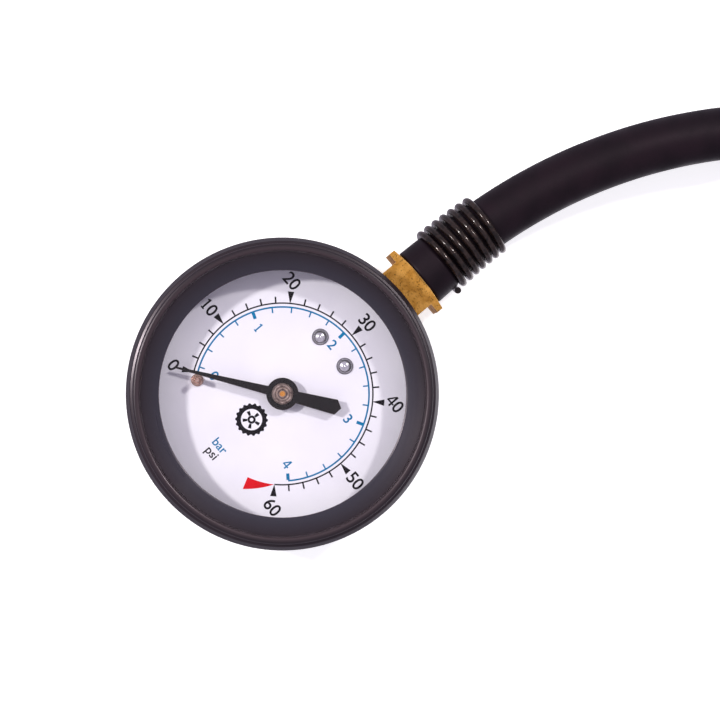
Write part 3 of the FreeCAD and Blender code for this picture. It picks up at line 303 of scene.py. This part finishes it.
def finish(material, light, dark, rough, patch, grain, depth, metal=0.0, way="plain", stretch=(1, 1, 1),
           edge_wear_and_glint=None, pits=None, coat=0.0, specular=0.5, rings=None, slope_reflection=None, crest_highlight=None,
           side_shade=None, sheen=(1.0, 1.0, 1.0)):
    """A used surface: colour patches between light and dark, with a fine grain in its roughness and relief.

    edge_wear_and_glint: colour of its edges, rubbed wear on some finishes and a painted highlight on others.
    pits: size of small holes. rings: pitch of lathe rings. slope_reflection: two radii about the dial's axis,
    and the colour reached at the second, a painted reflection. crest_highlight: radius, half-width and colour
    of a band
    of painted highlight. side_shade: colour of the painted shade on the sides of a round head. sheen:
    specular tint."""
    paint = Paint(material)
    where = paint.around_dial() if way == "dial" else paint.place(stretch)
    patches = paint.spread(paint.cloud(where, patch), 0.35, 0.65)
    fine = paint.cloud(where, grain, 5.0)
    colour = paint.mix(patches, tint(*light), tint(*dark))
    colour = paint.mix(paint.spread(fine, 0.45, 0.75, 0.0, 0.35), colour, tint(*dark))
    height = fine
    if rings:
        turned = paint.turned_rings(rings)
        colour = paint.mix(paint.sum("MULTIPLY", turned, 0.8), colour, tint(*dark))
        height = paint.sum("ADD", fine, turned)
    if pits:
        holes = paint.spread(paint.cloud(paint.place(), pits, 2.0), 0.58, 0.70)
        grime = tint(*[0.35 * value for value in dark])
        colour = paint.mix(paint.sum("MULTIPLY", holes, 0.6), colour, grime)
        height = paint.sum("SUBTRACT", fine, paint.sum("MULTIPLY", holes, 2.0))
    # painted reflection: a lighter blue-grey towards the window on the bezel's inner slope, mixed in by
    # distance from the dial's axis
    if slope_reflection:
        start, full, tone = slope_reflection
        share = paint.spread(paint.from_axis(), start * MM, full * MM)
        colour = paint.mix(share, colour, tint(*tone))
    # painted highlight: a lighter band at one distance from the dial's axis, along the bezel bead's crest
    if crest_highlight:
        radius, half, tone = crest_highlight
        away = paint.sum("ABSOLUTE", paint.sum("SUBTRACT", paint.from_axis(), radius * MM))
        share = paint.spread(away, half * MM, 0.1 * half * MM)
        colour = paint.mix(share, colour, tint(*tone))
    # painted shade: a darker colour where the surface leans away from the front, on the sides of the domed
    # heads
    if side_shade:
        colour = paint.mix(paint.lean(), colour, tint(*side_shade))
    # edges take another colour: rubbed wear on some finishes, a painted highlight on the bright brass, pin
    # and bush edges
    if edge_wear_and_glint:
        colour = paint.mix(paint.sum("MULTIPLY", paint.edges(0.25), 0.6), colour, tint(*edge_wear_and_glint))
    roughness = paint.spread(paint.sum("ADD", patches, fine), 0.4, 1.6, rough[0], rough[1])
    shader = paint.add("ShaderNodeBsdfPrincipled")
    for name, value in (("Base Color", colour), ("Metallic", metal), ("Roughness", roughness),
                        ("Specular IOR Level", specular), ("Specular Tint", (*sheen, 1.0)),
                        ("Coat Weight", coat), ("Coat Roughness", 0.12),
                        ("Normal", paint.relief(height, depth))):
        paint.feed(shader.inputs[name], value)
    paint.feed(paint.output.inputs["Surface"], shader.outputs[0])
    return material


def clear_window(material):
    """Clear plastic with faint smudges; light passes through it without a shadow."""
    clean = (0.995, 0.995, 1.0, 1.0)
    smudged = (0.975, 0.972, 0.985, 1.0)
    plastic_ior = 1.49
    shine = 0.3
    paint = Paint(material)
    where = paint.place()
    smudge = paint.spread(paint.cloud(where, 9.0), 0.4, 0.75)
    through = paint.add("ShaderNodeBsdfTransparent")
    paint.feed(through.inputs["Color"], paint.mix(smudge, clean, smudged))
    mirror = paint.add("ShaderNodeBsdfGlossy")
    paint.feed(mirror.inputs["Color"], (1.0, 1.0, 1.0, 1.0))
    paint.feed(mirror.inputs["Roughness"], paint.spread(smudge, 0.0, 1.0, 0.02, 0.12))
    paint.feed(mirror.inputs["Normal"], paint.relief(paint.cloud(where, 12.0), 0.004))
    facing = paint.add("ShaderNodeFresnel")
    paint.feed(facing.inputs["IOR"], plastic_ior)
    shadow_ray = paint.add("ShaderNodeLightPath").outputs["Is Shadow Ray"]
    share = paint.sum("MULTIPLY", facing.outputs[0], paint.sum("SUBTRACT", 1.0, shadow_ray))
    window = paint.add("ShaderNodeMixShader")
    paint.feed(window.inputs[0], paint.sum("MULTIPLY", share, shine))
    paint.feed(window.inputs[1], through.outputs[0])
    paint.feed(window.inputs[2], mirror.outputs[0])
    paint.feed(paint.output.inputs["Surface"], window.outputs[0])


SLOT_FINISHES = {
    # bezel: a painted reflection on its inner slope, a painted highlight along the bead's crest, and edges
    # that are partly wear, partly painted highlight
    "bezel_black": dict(
        light=(37, 28, 33), dark=(22, 16, 19), rough=(0.27, 0.45), patch=5, grain=0.6, depth=0.006,
        way="dial", edge_wear_and_glint=(112, 90, 96), slope_reflection=(30.9, 27.4, (46, 45, 54)),
        crest_highlight=(31.3, 0.7, (54, 43, 46)), sheen=(1.0, 0.88, 0.94)),
    "case_black": dict(
        light=(42, 40, 43), dark=(30, 28, 31), rough=(0.35, 0.55), patch=9, grain=0.5, depth=0.02,
        edge_wear_and_glint=(80, 78, 80)),
    "gasket_rubber": dict(
        light=(40, 38, 40), dark=(26, 25, 27), rough=(0.55, 0.75), patch=4, grain=0.4, depth=0.02),
    "seal_rubber": dict(
        light=(52, 50, 50), dark=(34, 33, 33), rough=(0.55, 0.75), patch=3, grain=0.4, depth=0.02),
    "dial_white": dict(
        light=(250, 247, 251), dark=(246, 243, 248), rough=(0.45, 0.55), patch=11, grain=0.35,
        depth=0.003, specular=0.25),
    # rivet heads: their darker sloping sides are painted shade
    "bright_steel": dict(
        light=(250, 248, 250), dark=(214, 210, 214), rough=(0.14, 0.26), patch=1.4, grain=0.2,
        depth=0.004, metal=0.9, side_shade=(92, 90, 95)),
    # stop pin: its light edge colour is a painted highlight
    "rose_brass": dict(
        light=(244, 206, 190), dark=(164, 120, 106), rough=(0.14, 0.26), patch=0.9, grain=0.15,
        depth=0.006, metal=0.5, edge_wear_and_glint=(255, 240, 232)),
    "spindle_brass": dict(
        light=(250, 178, 92), dark=(208, 132, 60), rough=(0.2, 0.36), patch=0.8, grain=0.15,
        depth=0.006, metal=0.5),
    # bush: its light edge colour is a painted highlight
    "bush_metal": dict(
        light=(230, 204, 190), dark=(70, 54, 50), rough=(0.2, 0.36), patch=1.2, grain=0.2,
        depth=0.006, metal=0.5, rings=0.62, edge_wear_and_glint=(236, 214, 200)),
    "pointer_black": dict(
        light=(26, 19, 19), dark=(14, 10, 10), rough=(0.4, 0.55), patch=3, grain=0.25, depth=0.006,
        edge_wear_and_glint=(64, 44, 38), specular=0.3),
    # socket: its light edge colour is a painted highlight along the flange's edges
    "socket_brass": dict(
        light=(234, 174, 84), dark=(184, 128, 48), rough=(0.34, 0.52), patch=2.2, grain=0.35,
        depth=0.03, metal=0.6, edge_wear_and_glint=(255, 220, 150), pits=0.3, sheen=(1.0, 0.8, 0.5)),
    "guard_steel": dict(
        light=(56, 42, 37), dark=(12, 8, 7), rough=(0.16, 0.36), patch=0.9, grain=0.25, depth=0.015,
        metal=0.4, coat=0.4, specular=0.3, sheen=(1.0, 0.9, 0.85)),
    "hose_rubber": dict(
        light=(26, 15, 21), dark=(14, 7, 12), rough=(0.42, 0.58), patch=6, grain=0.4, depth=0.01,
        specular=0.22, sheen=(1.0, 0.82, 0.92)),
    "screw_steel": dict(
        light=(196, 196, 198), dark=(150, 150, 154), rough=(0.25, 0.4), patch=1.5, grain=0.2,
        depth=0.008, metal=1.0),
    "movement_brass": dict(
        light=(222, 184, 104), dark=(184, 144, 70), rough=(0.22, 0.38), patch=3, grain=0.25,
        depth=0.006, metal=1.0, stretch=(1, 1, 0.08)),
    "pivot_steel": dict(
        light=(188, 188, 192), dark=(150, 150, 156), rough=(0.18, 0.3), patch=1.0, grain=0.15,
        depth=0.005, metal=1.0),
    "tube_bronze": dict(
        light=(206, 150, 98), dark=(158, 106, 62), rough=(0.25, 0.42), patch=5, grain=0.3,
        depth=0.008, metal=1.0, way="dial"),
}

INKS = {
    "black": dict(light=(20, 14, 20), dark=(10, 6, 11)),
    "blue": dict(light=(0, 124, 172), dark=(0, 112, 158)),
    "red": dict(light=(230, 0, 22), dark=(218, 0, 16)),
}


def dress_cad_nodes():
    """Rebuilds the material of every slot in place, so that all its nodes share it."""
    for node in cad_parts.values():
        material = node.data.materials[0]
        if "painted" in material:
            continue
        if material.name == "lens_clear":
            clear_window(material)
        else:
            finish(material, **SLOT_FINISHES[material.name])
        material["painted"] = True


# ---- meshes ---------------------------------------------------------------------------------

def add_piece(name, mesh, material):
    """Turns a bmesh into a named object with one material."""
    bmesh.ops.remove_doubles(mesh, verts=mesh.verts, dist=0.001 * MM)
    bmesh.ops.recalc_face_normals(mesh, faces=mesh.faces)
    data = bpy.data.meshes.new(name)
    mesh.to_mesh(data)
    mesh.free()
    piece = bpy.data.objects.new(name, data)
    bpy.context.scene.collection.objects.link(piece)
    data.materials.append(material)
    return piece


def join_rings(mesh, one, two):
    """Adds a band of faces between two closed rings with the same number of points."""
    for step in range(len(one)):
        after = (step + 1) % len(one)
        mesh.faces.new((one[step], one[after], two[after], two[step]))


# ---- dial print -----------------------------------------------------------------------------

def spot(reach, clock, aside=0.0):
    """(x, z) of a point: its distance from the pointer's axis at a clock angle, then aside from that line."""
    angle = math.radians(clock)
    x = reach * math.sin(angle) + aside * math.cos(angle)
    z = reach * math.cos(angle) - aside * math.sin(angle)
    return (x, z)


def strip(mesh, pairs, closed=False):
    """Adds a thin closed prism that covers the area between two lines, given as pairs of points."""
    front = INK_BACK + INK_THICK
    rows = []
    for first, second in pairs:
        corners = [(first, front), (second, front), (second, INK_BACK), (first, INK_BACK)]
        rows.append([mesh.verts.new((x * MM, -depth * MM, z * MM)) for (x, z), depth in corners])
    joins = list(zip(rows, rows[1:]))
    if closed:
        joins.append((rows[-1], rows[0]))
    for one, two in joins:
        join_rings(mesh, one, two)
    if not closed:
        mesh.faces.new(rows[0])
        mesh.faces.new(rows[-1][::-1])


def arc(mesh, inner, outer, start, end):
    """A line of ink along a circle about the pointer's axis, in steps of about 1.5 degrees."""
    steps = max(2, round(abs(end - start) / 1.5))
    clocks = [start + (end - start) * step / steps for step in range(steps + 1)]
    strip(mesh, [(spot(outer, clock), spot(inner, clock)) for clock in clocks])


def tick(mesh, clock, first, last, first_wide, last_wide):
    """A radial mark between two radii, with its own width at each end."""
    ends = ((first, first_wide), (last, last_wide))
    strip(mesh, [(spot(reach, clock, wide / 2), spot(reach, clock, -wide / 2)) for reach, wide in ends])


def outlined(loops, tall):
    """A flat shape with straight sides, from closed loops of points one unit tall; holes are loops too."""
    curve = bpy.data.curves.new("shape", "CURVE")
    curve.dimensions = "2D"
    curve.fill_mode = "BOTH"
    for loop in loops:
        spline = curve.splines.new("POLY")
        spline.points.add(len(loop) - 1)
        for point, (x, y) in zip(spline.points, loop):
            point.co = (x * tall, y * tall, 0.0, 1.0)
        spline.use_cyclic_u = True
    return curve


def typeset(text, tall, weight):
    """Lettering in the built-in face; tall is the height of a digit."""
    curve = bpy.data.curves.new("lettering", "FONT")
    curve.body = text
    curve.size = tall / FACE_DIGIT
    curve.offset = weight
    curve.resolution_u = 6
    return curve


def add_letters(mesh, curve, x, z):
    """Turns a flat curve into a thin closed piece of ink, upright on the dial, its box centred on (x, z)."""
    curve.extrude = INK_THICK / 2
    writing = bpy.data.objects.new("lettering", curve)
    bpy.context.scene.collection.objects.link(writing)
    bpy.context.view_layer.update()
    flat = bpy.data.meshes.new_from_object(writing.evaluated_get(bpy.context.evaluated_depsgraph_get()))
    across = [vertex.co.x for vertex in flat.vertices]
    up = [vertex.co.y for vertex in flat.vertices]
    middle = ((min(across) + max(across)) / 2, (min(up) + max(up)) / 2)
    for vertex in flat.vertices:
        here = vertex.co.copy()
        vertex.co = (here.x - middle[0] + x, -here.z - INK_BACK - INK_THICK / 2, here.y - middle[1] + z)
        vertex.co *= MM
    mesh.from_mesh(flat)
    bpy.data.objects.remove(writing)
    bpy.data.curves.remove(curve)
    bpy.data.meshes.remove(flat)


def numeral(mesh, number, tall, weight, reach, clock):
    """Adds a number centred on a point of the dial, one digit to each equal cell."""
    x, z = spot(reach, clock)
    text = str(number)
    cell = FACE_ADVANCE / FACE_DIGIT * tall
    for place, digit in enumerate(text):
        here = x + (place - (len(text) - 1) / 2) * cell
        if digit in OWN_DIGITS:
            curve = outlined(OWN_DIGITS[digit], tall)
        else:
            curve = typeset(digit, tall, weight)
        add_letters(mesh, curve, here, z)


def black_scale():
    """The scale in psi: an arc, a tick every 2, and a wedge and a number every 10."""
    mesh = bmesh.new()
    inner, outer = (PSI_RADIUS + off for off in PSI_LINE)
    wedge = (outer, PSI_RADIUS + PSI_WEDGE, PSI_WEDGE_POINT, PSI_WEDGE_WIDE)
    arc(mesh, inner, outer, SCALE_START, SCALE_END)
    for psi in range(PSI_FIRST_TICK, 61, 2):
        clock = ZERO_CLOCK + PSI_STEP * psi
        if psi % 10:
            tick(mesh, clock, outer, PSI_RADIUS + PSI_TICK, PSI_TICK_WIDE, PSI_TICK_WIDE)
        else:
            tick(mesh, clock, *wedge)
    for psi in range(10, 61, 10):
        numeral(mesh, psi, PSI_TALL, PSI_WEIGHT, PSI_REACH[psi], ZERO_CLOCK + PSI_STEP * psi)
    tick(mesh, SCALE_START, *wedge)
    numeral(mesh, 0, PSI_TALL, PSI_WEIGHT, PSI_REACH[0], ZERO_NUMERAL_CLOCK)
    add_letters(mesh, typeset("psi", UNIT_TALL, UNIT_WEIGHT), 0.0, -PSI_DOWN)
    return mesh


def blue_scale():
    """The scale in bar: an arc, a tick every fifth, and a longer tick and a number every whole bar."""
    mesh = bmesh.new()
    inner = BAR_RADIUS - BAR_LINE
    arc(mesh, inner, BAR_RADIUS + BAR_LINE, SCALE_START, ZERO_CLOCK + BAR_STEP * 4)
    for fifth in range(1, 21):
        clock = ZERO_CLOCK + BAR_STEP * fifth / 5
        if fifth % 5:
            tick(mesh, clock, inner, BAR_RADIUS - BAR_TICK, BAR_TICK_WIDE, BAR_TICK_WIDE)
        else:
            tick(mesh, clock, inner, BAR_RADIUS - BAR_LONG_TICK, BAR_LONG_TICK_WIDE, BAR_LONG_TICK_WIDE)
    for bar in range(1, 5):
        numeral(mesh, bar, BAR_TALL, BAR_WEIGHT, BAR_REACH, ZERO_CLOCK + BAR_STEP * bar)
    numeral(mesh, 0, BAR_TALL, BAR_WEIGHT, BAR_REACH, ZERO_NUMERAL_CLOCK)
    add_letters(mesh, typeset("bar", UNIT_TALL, UNIT_WEIGHT), 0.0, -BAR_DOWN)
    return mesh


def red_zone():
    """The wedge past the end of the scale, which widens from a point on the scale's arc."""
    mesh = bmesh.new()
    pairs = []
    for step in range(ZONE_STEPS + 1):
        share = step / ZONE_STEPS
        clock = SCALE_END + ZONE_GAP + ZONE_SWEEP * share
        outer = PSI_RADIUS + ZONE_POINT + ZONE_RISE * share
        pairs.append((spot(outer, clock), spot(PSI_RADIUS - ZONE_DROP * share, clock)))
    strip(mesh, pairs)
    return mesh


def wheel_mark():
    """A plain wheel pictogram: a tyre with tread lugs, spokes and a hub."""
    mesh = bmesh.new()

    def wheel_spot(reach, turn, aside=0.0):
        x, z = spot(reach, turn, aside)
        return (x, z - WHEEL_DOWN)

    def ring(inner, outer, notch=0.0):
        steps = WHEEL_LUGS * 4
        pairs = []
        for step in range(steps):
            turn = 360.0 * step / steps
            reach = outer - (notch if step % 4 in (2, 3) else 0.0)
            pairs.append((wheel_spot(reach, turn), wheel_spot(inner, turn)))
        strip(mesh, pairs, closed=True)

    ring(*WHEEL_TYRE, WHEEL_NOTCH)
    ring(*WHEEL_HUB)
    for spoke in range(WHEEL_SPOKES):
        turn = 360.0 * spoke / WHEEL_SPOKES
        strip(mesh, [(wheel_spot(reach, turn, wide / 2), wheel_spot(reach, turn, -wide / 2))
                     for reach, wide in WHEEL_SPOKE])
    return mesh


def print_dial():
    """Adds the print as four pieces that ride on the gauge."""
    shapes = [("scale_psi", black_scale, "black"), ("scale_bar", blue_scale, "blue"),
              ("zone_red", red_zone, "red"), ("wheel_mark", wheel_mark, "black")]
    materials = {}
    for ink, colours in INKS.items():
        materials[ink] = finish(bpy.data.materials.new("ink_" + ink), rough=(0.4, 0.55), patch=2.5,
                                grain=0.25, depth=0.002, specular=0.15, **colours)
    for name, build, ink in shapes:
        piece = add_piece(name, build(), materials[ink])
        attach(piece, "gauge")


# ---- hose -----------------------------------------------------------------------------------

def hose_path():
    """The hose's length, and a function from a distance along it to (x, z, heading in radians)."""
    first_long = HOSE_STRAIGHT - HOSE_START
    second_long = FIRST_BEND * FIRST_TURN
    third_long = SECOND_BEND * (math.pi - FIRST_TURN)
    reach = FIRST_BEND - SECOND_BEND
    centre_x = FIRST_BEND - reach * math.cos(FIRST_TURN)
    centre_z = HOSE_STRAIGHT + reach * math.sin(FIRST_TURN)
    leg_long = centre_z - CHUCK_SHOULDER

    def at(distance):
        if distance <= first_long:
            return (0.0, HOSE_START + distance, 0.0)
        distance -= first_long
        if distance <= second_long:
            turn = distance / FIRST_BEND
            x = FIRST_BEND * (1 - math.cos(turn))
            return (x, HOSE_STRAIGHT + FIRST_BEND * math.sin(turn), turn)
        distance -= second_long
        if distance <= third_long:
            turn = FIRST_TURN + distance / SECOND_BEND
            x = centre_x - SECOND_BEND * math.cos(turn)
            return (x, centre_z + SECOND_BEND * math.sin(turn), turn)
        distance -= third_long
        return (centre_x + SECOND_BEND, centre_z - distance, math.pi)

    return first_long + second_long + third_long + leg_long, at


def hose_radii(distance):
    """Outer and inner radius at a distance from the nearer end."""
    for (near, near_out, near_in), (far, far_out, far_in) in zip(HOSE_PROFILE, HOSE_PROFILE[1:]):
        if distance <= far:
            share = (distance - near) / (far - near)
            return near_out + (far_out - near_out) * share, near_in + (far_in - near_in) * share
    return HOSE_PROFILE[-1][1:]


def hose_stations(long):
    """Distances of the hose's rings, closer together in its shaped ends."""
    end = [HOSE_FINE_STEP * step for step in range(int(HOSE_SLEEVE / HOSE_FINE_STEP))]
    middle = long - 2 * HOSE_SLEEVE
    count = round(middle / HOSE_COARSE_STEP)
    between = [HOSE_SLEEVE + middle * step / count for step in range(count + 1)]
    return end + between + [long - distance for distance in reversed(end)]


def build_hose():
    """The hose with its slight unevenness, from the socket's flange to the chuck's shoulder."""
    long, at = hose_path()
    mesh = bmesh.new()
    outside, inside = [], []
    for distance in hose_stations(long):
        x, z, heading = at(distance)
        outer, inner = hose_radii(min(distance, long - distance))
        outer_ring, inner_ring = [], []
        for step in range(HOSE_AROUND):
            angle = 2 * math.pi * step / HOSE_AROUND
            aside, forward = math.cos(angle), math.sin(angle)
            sample = (distance / HOSE_LUMP_LONG, HOSE_LUMPS_AROUND * aside, HOSE_LUMPS_AROUND * forward)
            lump = noise.noise(Vector(sample))
            uneven = outer - HOSE_RELIEF * (0.5 + 0.5 * lump)
            for ring, radius in ((outer_ring, uneven), (inner_ring, inner)):
                off = radius * aside
                corner = (x + off * math.cos(heading), -HOSE_DEPTH + radius * forward,
                          z - off * math.sin(heading))
                ring.append(mesh.verts.new(Vector(corner) * MM))
        outside.append(outer_ring)
        inside.append(inner_ring)
    for wall in (outside, inside):
        for one, two in zip(wall, wall[1:]):
            join_rings(mesh, one, two)
    for end in (0, -1):
        join_rings(mesh, outside[end], inside[end])
    hose = add_piece("whip_hose", mesh, bpy.data.materials["hose_rubber"])
    for face in hose.data.polygons:
        face.use_smooth = True
    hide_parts("hose")
    start, end = [(x * MM, -HOSE_DEPTH * MM, z * MM) for x, z in (BEND_FROM, BEND_TO)]
    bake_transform(hose)


# ---- floor, light and camera ----------------------------------------------------------------

def lay_floor():
    """A pale sheet behind the case. It catches shadows in front and can't be seen from behind."""
    place = (0, FLOOR_BEHIND * MM, 0)
    bpy.ops.mesh.primitive_plane_add(size=FLOOR_METRES, location=place, rotation=(math.pi / 2, 0, 0))
    floor = bpy.context.object
    floor.name = "floor"
    material = bpy.data.materials.new("floor_white")
    paint = Paint(material)
    grain = paint.cloud(paint.place(), 40.0)
    diffuse = paint.add("ShaderNodeBsdfDiffuse")
    paint.feed(diffuse.inputs["Color"], paint.mix(grain, (0.92, 0.90, 0.90, 1.0), (0.90, 0.90, 0.88, 1.0)))
    glow = paint.add("ShaderNodeEmission")
    paint.feed(glow.inputs["Strength"], FLOOR_GLOW)
    lit = paint.add("ShaderNodeAddShader")
    paint.feed(lit.inputs[0], diffuse.outputs[0])
    paint.feed(lit.inputs[1], glow.outputs[0])
    seen = paint.add("ShaderNodeLightPath").outputs["Is Camera Ray"]
    behind = paint.add("ShaderNodeNewGeometry").outputs["Backfacing"]
    sheet = paint.add("ShaderNodeMixShader")
    paint.feed(sheet.inputs[0], paint.sum("MULTIPLY", seen, paint.sum("SUBTRACT", 1.0, behind)))
    paint.feed(sheet.inputs[1], paint.add("ShaderNodeBsdfTransparent").outputs[0])
    paint.feed(sheet.inputs[2], lit.outputs[0])
    paint.feed(paint.output.inputs["Surface"], sheet.outputs[0])
    floor.data.materials.append(material)


def add_lamp(name, direction, power, wide, colour):
    """A round lamp that shines on the gauge from a direction."""
    data = bpy.data.lights.new(name, "AREA")
    data.shape = "DISK"
    data.size = wide
    data.energy = power
    data.color = colour
    lamp = bpy.data.objects.new(name, data)
    toward = Vector(direction).normalized()
    lamp.location = toward * LAMP_REACH_METRES
    lamp.rotation_euler = toward.to_track_quat("Z", "Y").to_euler()
    bpy.context.scene.collection.objects.link(lamp)


def light_scene():
    """A white backdrop that only the camera sees, a dimmer ambient light, and the lamps."""
    world = bpy.data.worlds.new("studio")
    bpy.context.scene.world = world
    world.use_nodes = True
    tree = world.node_tree
    tree.nodes.clear()
    path = tree.nodes.new("ShaderNodeLightPath")
    seen = tree.nodes.new("ShaderNodeBackground")
    seen.inputs["Color"].default_value = (1.0, 1.0, 1.0, 1.0)
    ambient = tree.nodes.new("ShaderNodeBackground")
    ambient.inputs["Color"].default_value = AMBIENT_COLOUR
    ambient.inputs["Strength"].default_value = AMBIENT_STRENGTH
    both = tree.nodes.new("ShaderNodeMixShader")
    output = tree.nodes.new("ShaderNodeOutputWorld")
    tree.links.new(path.outputs["Is Camera Ray"], both.inputs[0])
    tree.links.new(ambient.outputs[0], both.inputs[1])
    tree.links.new(seen.outputs[0], both.inputs[2])
    tree.links.new(both.outputs[0], output.inputs["Surface"])
    for lamp in LAMPS:
        add_lamp(*lamp)


def aim_camera():
    """The camera stands before the dial and is rolled, so that the stem points up and to the right."""
    place = Vector(CAMERA_PLACE) * MM
    look = (Vector(CAMERA_TARGET) * MM - place).normalized()
    right = look.cross(Vector((0, 0, 1))).normalized()
    up = right.cross(look)
    rolled_right = right * math.cos(CAMERA_ROLL) + up * math.sin(CAMERA_ROLL)
    rolled_up = up * math.cos(CAMERA_ROLL) - right * math.sin(CAMERA_ROLL)
    data = bpy.data.cameras.new("camera")
    data.lens = CAMERA_LENS
    data.sensor_width = CAMERA_SENSOR
    data.clip_start = 0.01
    camera = bpy.data.objects.new("camera", data)
    axes = Matrix((rolled_right, rolled_up, -look)).transposed().to_4x4()
    camera.matrix_world = Matrix.Translation(place) @ axes
    bpy.context.scene.collection.objects.link(camera)
    bpy.context.scene.camera = camera


dress_cad_nodes()
print_dial()
build_hose()
lay_floor()
light_scene()
aim_camera()
bpy.context.scene.view_settings.view_transform = "Standard"
